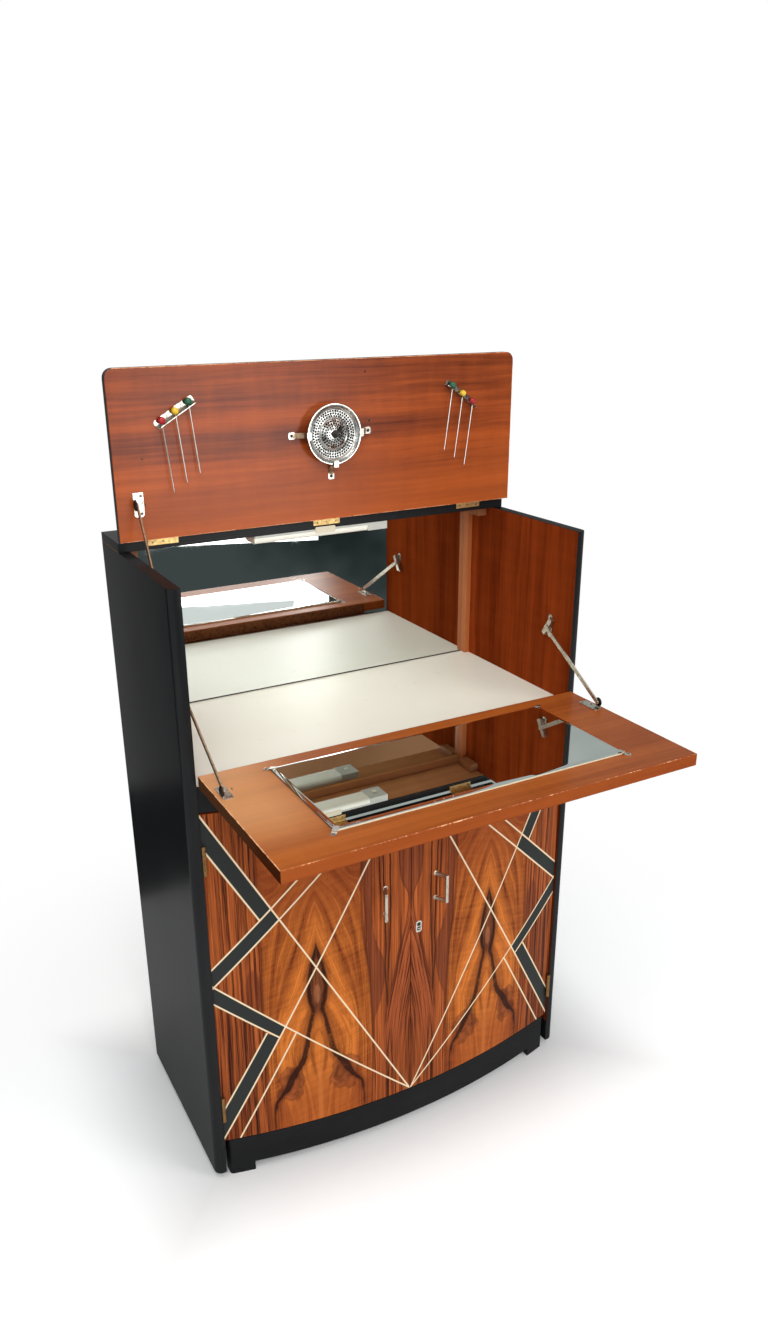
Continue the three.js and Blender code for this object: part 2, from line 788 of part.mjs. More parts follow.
// Three sticks hang in each holder. Their balls rest just above its shelf.
function addSticks(lid) {
  const sides = [
    ['left', leftBallFromEnd - halfWidth, leftHolderTilt, leftStickLean, [redPlastic, yellowPlastic, greenPlastic]],
    ['right', halfWidth - rightBallFromEnd, rightHolderTilt, rightStickLean, [greenPlastic, yellowPlastic, redPlastic]],
  ];
  sides.forEach(([side, x, tilt, lean, looks]) => {
    const row = subGroup(lid, x, lidFaceY, ballRise);
    row.rotation.y = -tilt;
    const holder = addPiece(row, `stick_holder_${side}`, stickHolder(tilt - lean), nickel);
    holder.position.z = -ballRadius - fitGap - holderWall;
    looks.forEach((look, index) => {
      const stick = addPiece(row, `cocktail_stick_${side}_${index + 1}`, cocktailStick(), look);
      stick.position.set((index - 1) * ballSpacing, -ballFromLid, 0);
      stick.rotation.y = tilt - lean;
    });
  });
}

function addLid(cabinet) {
  const lid = subGroup(cabinet, 0, lidAxisY, lidAxisZ);
  addPiece(lid, 'lid_panel', lidPanel(), mahogany);
  addJuicer(lid);
  addSticks(lid);
  const pinPlace = [0, lidPin.x - lidAxisY, lidPin.y - lidAxisZ];
  const bracket = subGroup(lid, ...pinPlace, Math.PI / 2);
  addPiece(bracket, 'lid_stay_plate', stayBracket(-1, lidPlateLength, -lidPlatePinOffset), darkSteel);
  const rod = subGroup(lid, ...pinPlace, lidRodLine.angle());
  addPiece(rod, 'lid_stay_rod', stayRod(-1, lidRodLine.length() + lidRodTail), nickel);
  const guide = subGroup(cabinet, 0, lidGuide.x, lidGuide.y, lidRodLine.angle());
  addPiece(guide, 'lid_stay_guide', stayGuide(-1), nickel);
}

// One leaf of the piano hinge: every second knuckle from a first one, the tabs that
// reach them and the flat, both as functions that give a box between two x places.
function pianoLeaf(first, flat, tab, y, z) {
  const start = -pianoHingeLength / 2;
  const count = Math.floor(pianoHingeLength / pianoKnuckleLength);
  const parts = [];
  for (let index = first; index < count; index += 2) {
    const x0 = start + index * pianoKnuckleLength + fitGap / 2;
    const x1 = x0 + pianoKnuckleLength - fitGap;
    parts.push(disc('x', x0, x1, y, z, pianoKnuckleRadius, pianoKnuckleSteps), tab(x0, x1));
  }
  return join(flat(start, start + pianoHingeLength), ...parts);
}

function addPianoHinge(cabinet, flap) {
  const notch = pianoKnuckleRadius + fitGap;
  const baseY = flapAxisY + notch;
  const baseTop = boardTop + pianoLeafThickness;
  const base = pianoLeaf(
    0,
    (x0, x1) => box(x0, x1, baseY, flapAxisY + pianoLeafDepth, boardTop, baseTop),
    (x0, x1) => box(x0, x1, flapAxisY, baseY + fitGap, boardTop, baseTop),
    flapAxisY,
    flapAxisZ,
  );
  addPiece(cabinet, 'flap_hinge_base', base, brass);
  const leafFront = -flapHingeEdge;
  const leafBack = leafFront + pianoLeafThickness;
  const leafTop = flapTop - flapEdgeRadius;
  const leaf = pianoLeaf(
    1,
    (x0, x1) => box(x0, x1, leafFront, leafBack, notch, leafTop),
    (x0, x1) => box(x0, x1, leafFront, leafBack, 0, notch + fitGap),
    0,
    0,
  );
  addPiece(flap, 'flap_hinge_leaf', leaf, brass);
}

// A plain mirror whose upper face is bevelled all round.
function bevelledMirror() {
  const bottom = flapTop;
  const edge = bottom + flapMirrorEdge;
  const top = bottom + flapMirrorThickness;
  const middleY = -flapMirrorSetback - flapMirrorDepth / 2;
  const halfLength = innerHalfWidth - flapSideGap - flapMirrorFromEnd;
  const geometry = new THREE.BoxGeometry(1, 1, 1, 1, 1, 2);
  const position = geometry.attributes.position;
  for (let index = 0; index < position.count; index += 1) {
    const level = position.getZ(index);
    const inset = level > 0 ? flapMirrorBevel : 0;
    const halfX = halfLength - inset;
    const halfY = flapMirrorDepth / 2 - inset;
    const x = flapMirrorOffset + Math.sign(position.getX(index)) * halfX;
    const y = middleY + Math.sign(position.getY(index)) * halfY;
    const z = level < 0 ? bottom : edge;
    position.setXYZ(index, x, y, level > 0 ? top : z);
  }
  geometry.computeVertexNormals();
  return geometry;
}

function flapPanel() {
  const half = innerHalfWidth - flapSideGap;
  const rearY = -flapHingeEdge;
  const frontY = rearY - flapLength;
  return plate('x', -half, half, [
    [rearY, flapHingeProud],
    [rearY, flapTop],
    [frontY, flapTop, flapEdgeRadius],
    [frontY, flapHingeProud, flapEdgeRadius],
  ]);
}

function addFlap(cabinet) {
  const flap = subGroup(cabinet, 0, flapAxisY, flapAxisZ);
  addPiece(flap, 'flap_panel', flapPanel(), mahogany);
  addPiece(flap, 'flap_mirror', bevelledMirror(), mirrorGlass);
  addPianoHinge(cabinet, flap);
  const pinPlace = [0, flapPin.x - flapAxisY, flapPin.y - flapAxisZ];
  [['left', -1], ['right', 1]].forEach(([side, hand]) => {
    const bracket = subGroup(flap, ...pinPlace);
    const pressed = stayBracket(hand, flapPlateLength, flapPlatePinOffset);
    addPiece(bracket, `flap_stay_plate_${side}`, pressed, nickel);
    const rod = subGroup(flap, ...pinPlace, flapRodLine.angle());
    addPiece(rod, `flap_stay_rod_${side}`, stayRod(hand, flapRodLine.length() + flapRodTail), nickel);
    const guide = subGroup(cabinet, 0, flapGuide.x, flapGuide.y, flapRodLine.angle());
    addPiece(guide, `flap_stay_guide_${side}`, stayGuide(hand), nickel);
  });
}

// A door in its own frame, with the hinge axis at the origin.
function doorPanel(hand) {
  const meetingX = doorMeetingGap / 2;
  const sideX = innerHalfWidth - doorSideGap;
  const plan = [...bowCorners(meetingX, sideX), ...bowCorners(sideX, meetingX, doorThickness)];
  const body = plate('z', doorBottom, doorTop, handed(hand, plan.map(([x, y]) => [x - doorAxisX, y])));
  const reach = hand > 0 ? boltLength : boltTravel;
  return cut(body, boltBox(hand, meetingX - fitGap, meetingX + reach + 2 * boltPlay, boltPlay));
}

// The room of the bolt between two places from the middle plane, with play round it.
function boltBox(hand, nearX, farX, play) {
  const middleY = bowY(0) + doorThickness / 2;
  const middleZ = doorBottom + lockRise;
  const halfY = boltThickness / 2 + play;
  const halfZ = boltHeight / 2 + play;
  const x0 = hand * (nearX - doorAxisX);
  const x1 = hand * (farX - doorAxisX);
  return box(x0, x1, middleY - halfY, middleY + halfY, middleZ - halfZ, middleZ + halfZ);
}

// A bar with a leg at each end that leans in to the door's face.
function doorHandle(hand) {
  const bottom = doorBottom + handleRise;
  const top = bottom + handleLength;
  const half = handleBarWidth / 2;
  const footY = bowY(handleFootX - half);
  const barY = footY - handleReach;
  const footX = handleFootX - doorAxisX;
  const barX = footX + handleSplay;
  const legPlan = handed(hand, [
    [footX - half, footY],
    [footX + half, footY],
    [barX + half, barY],
    [barX - half, barY],
  ]);
  const barOuterY = barY - handleBarThickness;
  const bar = box(hand * (barX - half), hand * (barX + half), barOuterY, barY, bottom, top);
  const lower = plate('z', bottom, bottom + handleBarWidth, legPlan);
  const upper = plate('z', top - handleBarWidth, top, legPlan);
  return join(bar, lower, upper);
}

function lockPlate() {
  const left = lockPlateX - lockPlateWidth / 2;
  const right = left + lockPlateWidth;
  const backY = bowY(left);
  const frontY = backY - lockPlateThickness;
  const middleZ = doorBottom + lockRise;
  const bottom = middleZ - lockPlateHeight / 2;
  const top = bottom + lockPlateHeight;
  const corners = [[bottom, left], [top, left], [top, right], [bottom, right]];
  const shifted = corners.map(([z, x]) => [z, x - doorAxisX, lockPlateRadius]);
  const x = lockPlateX - doorAxisX;
  const halfSlot = keyholeSlotWidth / 2;
  const past = lockPlateThickness / 2;
  const hole = disc('y', frontY - past, backY + past, middleZ, x, keyholeRadius);
  const slot = box(x - halfSlot, x + halfSlot, frontY - past, backY + past, middleZ - keyholeSlotLength, middleZ);
  return cut(plate('y', frontY, backY, shifted), hole, slot);
}

function addDoorHinges(cabinet, side, hand) {
  const places = [['top', doorTop - doorHingeFromTop], ['bottom', doorBottom + doorHingeFromBottom]];
  places.forEach(([end, middleZ]) => {
    const bottom = middleZ - doorKnuckleLength / 2;
    const top = bottom + doorKnuckleLength;
    const leafX = innerHalfWidth - doorLeafThickness;
    const leaf = box(hand * leafX, hand * innerHalfWidth, -doorKnuckleRadius, doorLeafDepth, bottom, top);
    const webX = hand * (leafX + doorLeafThickness / 2);
    const web = box(hand * doorAxisX, webX, -doorKnuckleRadius, doorLeafThickness - doorKnuckleRadius, bottom, top);
    const knuckle = disc('z', bottom, top, hand * doorAxisX, 0, doorKnuckleRadius);
    addPiece(cabinet, `door_hinge_${side}_${end}`, join(leaf, web, knuckle), brass);
  });
}

function addDoors(cabinet) {
  [['left', -1], ['right', 1]].forEach(([side, hand]) => {
    const door = subGroup(cabinet, hand * doorAxisX, 0, 0);
    addPiece(door, `door_${side}`, doorPanel(hand), figuredVeneer);
    addPiece(door, `door_handle_${side}`, doorHandle(hand), chrome);
    if (hand > 0) {
      const restX = doorMeetingGap / 2 + boltPlay;
      addPiece(door, 'lock_plate', lockPlate(), nickel);
      addPiece(door, 'lock_bolt', boltBox(hand, restX, restX + boltLength, 0), brass);
    }
    addDoorHinges(cabinet, side, hand);
  });
}

const cabinet = new THREE.Group();
addCase(cabinet);
addBarBack(cabinet);
addLight(cabinet);
addLidHinges(cabinet);
addLid(cabinet);
addFlap(cabinet);
addDoors(cabinet);

// Y = 0 lies midway between the back and the front edge of the open flap.
const flapFrontY = flapAxisY - flapHingeEdge - flapLength;
cabinet.position.y = -(cabinetDepth + flapFrontY) / 2;

export default cabinet;
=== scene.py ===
"""Looks of a bar cabinet with a lifting lid, a fold out shelf and a bow fronted cupboard.

Metres, +Z up, the front towards -Y. The CAD nodes give the places. Sizes of modelled pieces are
in millimetres, turned to metres by MM, and finishes measure the piece in millimetres too.
"""

import inspect
import json
import math
from functools import reduce

import bpy
from mathutils import Matrix, Vector

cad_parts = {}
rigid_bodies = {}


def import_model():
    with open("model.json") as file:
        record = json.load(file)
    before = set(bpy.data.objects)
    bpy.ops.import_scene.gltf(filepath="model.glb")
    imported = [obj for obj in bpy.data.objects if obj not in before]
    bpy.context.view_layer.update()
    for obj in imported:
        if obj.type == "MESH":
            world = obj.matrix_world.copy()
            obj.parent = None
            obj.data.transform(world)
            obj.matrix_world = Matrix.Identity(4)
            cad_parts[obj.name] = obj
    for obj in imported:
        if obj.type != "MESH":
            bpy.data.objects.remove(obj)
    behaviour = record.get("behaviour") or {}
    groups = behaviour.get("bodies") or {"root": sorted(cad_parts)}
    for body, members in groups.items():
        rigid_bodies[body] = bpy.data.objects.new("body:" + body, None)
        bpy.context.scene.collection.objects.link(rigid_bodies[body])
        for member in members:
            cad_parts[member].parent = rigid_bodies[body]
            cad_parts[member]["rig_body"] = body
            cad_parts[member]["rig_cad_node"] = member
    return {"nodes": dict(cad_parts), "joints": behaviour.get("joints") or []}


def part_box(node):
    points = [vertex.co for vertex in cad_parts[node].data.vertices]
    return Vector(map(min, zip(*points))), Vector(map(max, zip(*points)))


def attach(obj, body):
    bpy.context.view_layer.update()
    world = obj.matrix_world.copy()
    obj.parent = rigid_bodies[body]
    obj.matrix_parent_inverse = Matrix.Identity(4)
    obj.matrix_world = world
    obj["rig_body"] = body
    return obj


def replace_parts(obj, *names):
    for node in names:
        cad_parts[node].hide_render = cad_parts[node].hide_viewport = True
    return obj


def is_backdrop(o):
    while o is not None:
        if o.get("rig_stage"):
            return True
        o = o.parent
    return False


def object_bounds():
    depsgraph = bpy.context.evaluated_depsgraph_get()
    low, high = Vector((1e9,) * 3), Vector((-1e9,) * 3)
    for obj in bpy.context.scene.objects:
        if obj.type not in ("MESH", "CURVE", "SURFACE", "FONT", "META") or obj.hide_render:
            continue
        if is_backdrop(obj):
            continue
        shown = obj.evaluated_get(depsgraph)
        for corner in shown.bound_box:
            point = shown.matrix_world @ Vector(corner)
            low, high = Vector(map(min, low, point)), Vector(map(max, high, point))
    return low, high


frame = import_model()
cad_low, cad_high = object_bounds()
MM = 0.001
TO_MM = 1000.0
RIGHT, BACK, UP = Vector((1, 0, 0)), Vector((0, 1, 0)), Vector((0, 0, 1))
FRONT = Vector((0, -1, 0))
SIDES = {"left": -1, "right": 1}


# Places that the pieces share, from the frame

def low(node):
    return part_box(node)[0]


def high(node):
    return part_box(node)[1]


def centre(node):
    return (low(node) + high(node)) / 2


def joint_place(name):
    return Vector(next(joint for joint in frame["joints"] if joint["name"] == name)["pos_m"])


LID_FACE_Y = low("lid_panel").y
LID_FOOT_Z = low("lid_panel").z
LID_PIN_Y = joint_place("lid_hinge").y
FLAP_TOP_Z = high("flap_panel").z
WALL_X = high("cream_worktop").x
CASE_FRONT_Y = low("side_left").y
CASE_TOP_Z = high("side_left").z
JUICER_FOOT = Vector((centre("juicer_bowl").x, LID_FACE_Y, centre("juicer_bowl").z))


# Values that change over a surface

class Field:
    """A number or colour that changes over a surface: one socket of a node tree."""

    def __init__(self, tree, socket):
        self.tree = tree
        self.socket = socket

    def math(self, operation, *others):
        node = self.tree.nodes.new("ShaderNodeMath")
        node.operation = operation
        for place, value in enumerate((self, *others)):
            feed(self.tree, node.inputs[place], value)
        return Field(self.tree, node.outputs[0])

    def __add__(self, other):
        return self.math("ADD", other)

    def __sub__(self, other):
        return self.math("SUBTRACT", other)

    def __mul__(self, other):
        return self.math("MULTIPLY", other)

    def size(self):
        return self.math("ABSOLUTE")

    def least(self, other):
        return self.math("MINIMUM", other)

    def most(self, other):
        return self.math("MAXIMUM", other)

    def held(self):
        """The value kept between 0 and 1."""
        return self.most(0.0).least(1.0)

    def swing(self, amount):
        """Noise from 0 to 1, turned to swing about 0."""
        return (self - 0.5) * amount

    def rise(self, start, end):
        """0 below start, 1 above end and a smooth step between them, or the other way."""
        node = self.tree.nodes.new("ShaderNodeMapRange")
        node.interpolation_type = "SMOOTHSTEP"
        falls = start > end
        feed(self.tree, node.inputs["Value"], self)
        node.inputs["From Min"].default_value = min(start, end)
        node.inputs["From Max"].default_value = max(start, end)
        node.inputs["To Min"].default_value = 1.0 if falls else 0.0
        node.inputs["To Max"].default_value = 0.0 if falls else 1.0
        return Field(self.tree, node.outputs["Result"])


def feed(tree, socket, value):
    """Links a field to a socket, or sets the socket's own number or colour."""
    if isinstance(value, Field):
        tree.links.new(value.socket, socket)
    else:
        socket.default_value = (*value, 1.0) if isinstance(value, tuple) else value


def union(masks):
    return reduce(Field.most, masks)


def squares(first, second):
    return first * first + second * second


def vector(x, y, z):
    tree = next(value.tree for value in (x, y, z) if isinstance(value, Field))
    node = tree.nodes.new("ShaderNodeCombineXYZ")
    for place, value in enumerate((x, y, z)):
        feed(tree, node.inputs[place], value)
    return Field(tree, node.outputs[0])


def cloud(x, y, z, detail=2.0, roughness=0.5):
    """Smooth noise from 0 to 1, with one lump for each unit."""
    place = vector(x, y, z)
    node = place.tree.nodes.new("ShaderNodeTexNoise")
    for label, value in (("Vector", place), ("Scale", 1.0), ("Detail", detail), ("Roughness", roughness)):
        feed(place.tree, node.inputs[label], value)
    return Field(place.tree, node.outputs["Fac"])


def lumps(place, scale, detail=2.0, roughness=0.5):
    """Noise that is alike in all directions, with scale lumps to a millimetre."""
    return cloud(*[axis * scale for axis in place], detail, roughness)


def blend(share, first, second):
    node = share.tree.nodes.new("ShaderNodeMix")
    node.data_type = "RGBA"
    feed(share.tree, node.inputs["Factor"], share)
    feed(share.tree, node.inputs[6], first)
    feed(share.tree, node.inputs[7], second)
    return Field(share.tree, node.outputs[2])


def tone(red, green, blue):
    """A linear colour from the 0 to 255 values of a screen."""
    return tuple(
        c / 12.92 if c <= 0.04045 else ((c + 0.055) / 1.055) ** 2.4
        for c in (red / 255, green / 255, blue / 255)
    )


def dimmed(shade, share):
    return tuple(c * share for c in shade)


# Effects that several finishes share, each a node group

COLOUR_SOCKETS = {"Colour", "Light", "Dark", "Shade", "Bright", "Dull"}


def effect(*gives):
    """Makes a shader node group of a function, whose arguments are the group's inputs.

    The function's name then stands for one that places the group in a tree with values for
    these inputs, and gives the outputs.
    """
    def make(wiring):
        takes = [name.replace("_", " ").title() for name in inspect.signature(wiring).parameters]
        group = bpy.data.node_groups.new(wiring.__name__.replace("_", " "), "ShaderNodeTree")
        for way, labels in (("INPUT", takes), ("OUTPUT", gives)):
            for label in labels:
                kind = "NodeSocketColor" if label in COLOUR_SOCKETS else "NodeSocketFloat"
                group.interface.new_socket(label, in_out=way, socket_type=kind)
        inlet = group.nodes.new("NodeGroupInput")
        outlet = group.nodes.new("NodeGroupOutput")
        results = wiring(*[Field(group, inlet.outputs[label]) for label in takes])
        for label, result in zip(gives, results):
            feed(group, outlet.inputs[label], result)

        def place(tree, *values):
            node = tree.nodes.new("ShaderNodeGroup")
            node.node_tree = group
            for label, value in zip(takes, values):
                feed(tree, node.inputs[label], value)
            return [Field(tree, socket) for socket in node.outputs]
        return place
    return make


@effect("Colour", "Height", "Roughness")
def straight_grain(along, across, depth, light, dark, contrast):
    """Straight mahogany: broad ribbons, fine streaks and short pores, all along the grain."""
    sway = cloud(along * 0.003, across * 0.008, depth * 0.01) * 18.0
    row = across + sway
    ribbon = cloud(along * 0.0013, row * 0.024, depth * 0.02, 3.0)
    streak = cloud(along * 0.004, row * 0.13, depth * 0.13, 4.0, 0.6)
    fibre = cloud(along * 0.016, row * 0.8, depth * 0.8)
    pore = cloud(along * 0.10, across * 1.5, depth * 1.5).rise(0.6, 0.76)
    chatter = cloud(along * 0.045, across * 0.012, depth * 0.02)
    share = ribbon.swing(1.7) + streak.swing(0.9) + fibre.swing(0.35) + chatter.swing(0.3)
    colour = blend((share * contrast + 0.5).held(), dark, light)
    colour = blend(pore * 0.30, colour, tone(40, 14, 6))
    return colour, pore * -0.5 + fibre * 0.25, streak.swing(0.16) + pore * 0.1


@effect("Colour", "Height", "Roughness")
def satin_paint(along, across, depth, shade):
    """Brushed black paint: faint strokes along the panel and a little dust in them."""
    stroke = cloud(along * 0.006, across * 0.5, depth * 0.5, 4.0, 0.6)
    patch = cloud(along * 0.004, across * 0.008, depth * 0.008)
    nib = lumps((along, across, depth), 0.9, 1.0).rise(0.74, 0.8)
    share = (stroke.swing(0.5) + patch.swing(0.6) + 0.3).held()
    colour = blend(share * 0.5, shade, tone(60, 61, 63))
    return colour, stroke * 0.6 + nib * 0.4, stroke.swing(0.14) + patch.swing(0.1)


@effect("Mask")
def rubbed_edge(edge, x, y, z):
    """Where an edge is rubbed: 1 on the edge, broken up along it."""
    gap = lumps((x, y, z), 0.035, 3.0, 0.7)
    nick = lumps((x, y, z), 0.3)
    return [(edge + (gap - 0.62) * 1.6 + nick.swing(0.9)).rise(0.35, 0.8)]


@effect("Colour", "Roughness", "Height")
def handled_metal(x, y, z, bright, dull, wear):
    """Old plating: cloudy dull patches, fine pits and short scratches."""
    patch = lumps((x, y, z), 0.16, 4.0, 0.65)
    pit = lumps((x, y, z), 1.4).rise(0.63, 0.72)
    scratch = cloud(x * 0.2, y * 2.6, z * 0.9).rise(0.62, 0.7)
    share = ((patch.rise(0.42, 0.68) * 0.7 + pit * 0.5) * wear).least(1.0)
    return blend(share, bright, dull), share * 0.3 + scratch * 0.08, pit * -0.6 + scratch * -0.25


@effect("Mask")
def inlaid_line(x, z, start_x, start_z, run_x, run_z, length, width):
    """1 inside a straight inlaid line of a width, from a start along a unit run."""
    over = x - start_x
    up = z - start_z
    along = over * run_x + up * run_z
    aside = (over * run_z - up * run_x).size()
    inside = (width * 0.5 - aside).rise(-0.35, 0.35)
    begun = (along + width * 0.5).rise(-0.4, 0.4)
    return [inside * begun * (length + width * 0.5 - along).rise(-0.4, 0.4)]


@effect("Distance")
def left_of_line(x, z, start_x, start_z, run_x, run_z):
    """How far a place lies to the left of a line that runs from a start."""
    return [(z - start_z) * run_x - (x - start_x) * run_z]


# Finishes

class Finish:
    """A material in the making: its shader and the place on the piece in millimetres."""

    def __init__(self, name):
        self.material = bpy.data.materials.new(name)
        self.material.use_nodes = True
        self.tree = self.material.node_tree
        self.shader = self.tree.nodes["Principled BSDF"]
        self.place = [axis * TO_MM for axis in self.coordinate("Object")]

    def coordinate(self, kind):
        source = self.tree.nodes.new("ShaderNodeTexCoord")
        split = self.tree.nodes.new("ShaderNodeSeparateXYZ")
        self.tree.links.new(source.outputs[kind], split.inputs[0])
        return [Field(self.tree, socket) for socket in split.outputs]

    def facing(self, axis):
        """The piece's own normal along an axis."""
        return self.coordinate("Normal")["XYZ".index(axis)]

    def along(self, order):
        """The place with its axes in an order: along the grain, across it, and into it."""
        return [self.place["XYZ".index(axis)] for axis in order]

    def set(self, **values):
        """Sets or links inputs of the shader."""
        for label, value in values.items():
            feed(self.tree, self.shader.inputs[label.replace("_", " ")], value)

    def surface(self, colour, roughness, height=None, depth=0.1):
        """Links the colour and roughness, and a bump of a depth in millimetres."""
        self.set(Base_Color=colour, Roughness=roughness)
        if height is not None:
            bump = self.tree.nodes.new("ShaderNodeBump")
            for label, value in (("Strength", 0.5), ("Distance", depth * MM), ("Height", height)):
                feed(self.tree, bump.inputs[label], value)
            self.tree.links.new(bump.outputs[0], self.shader.inputs["Normal"])
        return self.material


PAINT_BLUR = 0.15
BLACK = tone(15, 16, 17)
# Woods as a light and a dark colour
LID_WOOD = (tone(160, 72, 24), tone(88, 33, 10))
FLAP_WOOD = (tone(180, 98, 40), tone(122, 56, 20))
WALL_WOOD = (tone(150, 64, 24), tone(84, 28, 8))


def black_paint(name):
    """Satin black paint with its strokes along the width."""
    finish = Finish(name)
    colour, height, rough = satin_paint(finish.tree, *finish.place, BLACK)
    finish.set(Specular_IOR_Level=0.0, Coat_Weight=0.2, Coat_Roughness=0.28)
    return finish.surface(colour, rough + 0.46, height, 0.12)


def rub_edges(finish, colour, edges, worn):
    """Lightens a colour where it is rubbed. Each edge is two (axis, place in metres) pairs."""
    axes = dict(zip("XYZ", finish.place))
    masks = []
    for edge in edges:
        near, far = [(axes[axis] - spot * TO_MM).size() for axis, spot in edge]
        masks.append((near + far).rise(2.6, 0.2))
    mask = union(masks)
    (rub,) = rubbed_edge(finish.tree, mask, *finish.place)
    return blend(rub * mask.rise(0.0, 0.2), colour, worn)


def mahogany(name, order, wood, contrast, roughness, edges=(), painted=(), sheen=0.0,
             nail_holes=(), pale=None):
    """Polished mahogany with its grain along the first axis of an order.

    painted lists (axis, low, high) in metres: beyond these places the piece is painted black.
    nail_holes are (x, z, radius) in millimetres. pale is (high, low) in metres: from the first
    height to the second the colour is lightened, a painted light as if bounced up from below.
    """
    finish = Finish(name)
    x, _, z = finish.place
    grain = finish.along(order)
    colour, height, rough = straight_grain(finish.tree, *grain, *wood, contrast)
    # pale paints light: towards the bottom the colour is lightened, as if lit from below.
    if pale:
        colour = blend(z.rise(*[height_m * TO_MM for height_m in pale]) * 0.5, colour, tone(190, 92, 36))
    rough = rough + roughness
    for hole_x, hole_z, radius in nail_holes:
        away = squares(x - hole_x, z - hole_z).math("SQRT")
        colour = blend(away.rise(radius + 0.3, radius - 0.3), colour, tone(30, 14, 8))
    if edges:
        colour = rub_edges(finish, colour, edges, tone(222, 160, 116))
    if painted:
        beyond = []
        for axis, start, end in painted:
            (place,) = finish.along(axis)
            below = (place - start * TO_MM).rise(PAINT_BLUR, -PAINT_BLUR)
            beyond.append(below.most((place - end * TO_MM).rise(-PAINT_BLUR, PAINT_BLUR)))
        outside = union(beyond)
        paint, _, paint_rough = satin_paint(finish.tree, *grain, BLACK)
        colour = blend(outside, colour, paint)
        rough = rough + (paint_rough + 0.4 - rough) * outside
        finish.set(Coat_Weight=outside * (0.27 - sheen) + sheen)
    finish.set(Specular_IOR_Level=0.0, Coat_Roughness=0.27)
    return finish.surface(colour, rough, height)


# The doors' decoration, in millimetres from the middle plane and above the pattern's foot

PATTERN_FOOT = 14.0
LINE_WIDTH = 3.1
FOOT = (1.5, 73.6)
DOOR_LINES = [
    (FOOT, (381.0, 772.0)),
    ((379.2, 75.1), (8.4, 769.0)),
    (FOOT, (378.0, 425.0)),
    ((234.2, 291.1), (348.1, 73.1)),
    ((381.0, 457.0), (66.5, 769.0)),
    ((378.0, 421.3), (28.0, 769.0)),
    ((290.6, 547.7), (381.0, 711.0)),
    ((267.5, 289.0), (381.0, 389.5)),
    ((289.0, 302.5), (382.0, 131.0)),
]
DOOR_BANDS = [
    [(269.2, 564.5), (290.6, 547.7), (383.0, 714.5), (383.0, 776.0)],
    [(255.6, 541.2), (383.0, 416.4), (383.0, 455.0), (269.2, 564.5)],
    [(267.5, 289.0), (383.0, 391.0), (383.0, 430.0), (254.2, 309.5)],
    [(267.5, 289.0), (383.0, 69.0), (383.0, 129.0), (289.0, 302.5)],
]

# The veneer's figure in millimetres. Each curve gives, by height, a distance from the figure's
# axis or from the doors' meeting edge, or half the width of a band.

TALLEST = 700.0
LEFT_AXIS = 192.0
RIGHT_AXIS = 186.0
HEART_HALF = [
    (0, 8), (290, 8), (320, 9), (336, 11), (350, 16), (368, 18), (388, 17), (405, 15), (425, 12),
    (445, 8), (462, 4), (477, 0), (500, -8), (700, -24),
]
LEG_OFFSET = [
    (0, 92), (79, 90), (110, 89), (132, 86), (150, 74), (166, 62), (185, 54), (203, 44), (215, 36),
    (230, 29), (250, 24), (280, 19), (310, 13), (332, 9), (352, 14), (385, 16), (425, 11), (477, 0),
    (700, 0),
]
LEG_HALF = [
    (0, 1), (80, 1.5), (130, 3), (160, 6), (190, 8), (205, 7), (225, 6), (260, 5), (300, 4), (350, 4),
    (400, 4), (450, 3), (480, 0), (500, -4), (700, -24),
]
FLAME = [
    (0, 80), (120, 84), (200, 96), (250, 98), (300, 84), (350, 60), (400, 42), (450, 27),
    (500, 12), (545, 0), (620, -42), (700, -84),
]
SEAM_PLACE = [(0, 88), (380, 88.7), (421, 94), (460, 99), (700, 100)]
DARK_BAND = [
    (0, 87), (200, 86), (275, 84), (312, 79), (348, 76), (399, 76), (450, 84), (494, 88), (566, 90),
    (700, 91),
]
DARK_BAND_HALF = [
    (0, 1.5), (200, 2), (240, 3), (275, 6), (312, 13), (348, 17), (399, 16), (450, 8), (494, 6),
    (566, 9), (700, 11),
]
OUTER_STREAK = [(0, 50), (312, 52), (380, 56), (435, 54), (494, 55), (566, 57), (700, 59)]
INNER_STREAK = [
    (0, 24), (230, 46), (312, 50), (380, 49), (435, 46), (494, 44), (566, 43.6), (700, 46),
]
STREAK_HALF = [(0, 0.2), (230, 0.7), (380, 1.3), (566, 1.7), (700, 1.2)]
MEETING_HALF = [
    (0, 74), (120, 68), (200, 61), (275, 52), (312, 46), (348, 39), (399, 29), (435, 20), (457, 13),
    (494, 6), (515, 4), (530, 6), (566, 20), (632, 25), (700, 26),
]
OUTER_LINES = (296.0, 313.0, 329.0, 344.0, 355.0)
# Blots as (across, height, half width, half height)
KNOT = (57.0, 171.0, 27.0, 36.0)
OUTER_BLOT = (309.0, 392.0, 14.0, 56.0)
LENS = (0.0, 366.0, 7.0, 22.0)


def run_of(start, end):
    """The unit run and the length from a start to an end."""
    length = math.dist(start, end)
    return (end[0] - start[0]) / length, (end[1] - start[1]) / length, length


def line_mask(tree, x, z):
    return union([
        inlaid_line(tree, x, z, *start, *run_of(start, end), LINE_WIDTH)[0] for start, end in DOOR_LINES
    ])


def band_mask(tree, x, z):
    bands = []
    for corners in DOOR_BANDS:
        edges = zip(corners, corners[1:] + corners[:1])
        lefts = [left_of_line(tree, x, z, *start, *run_of(start, end)[:2])[0] for start, end in edges]
        bands.append(reduce(Field.least, lefts).rise(-0.35, 0.35))
    return union(bands)


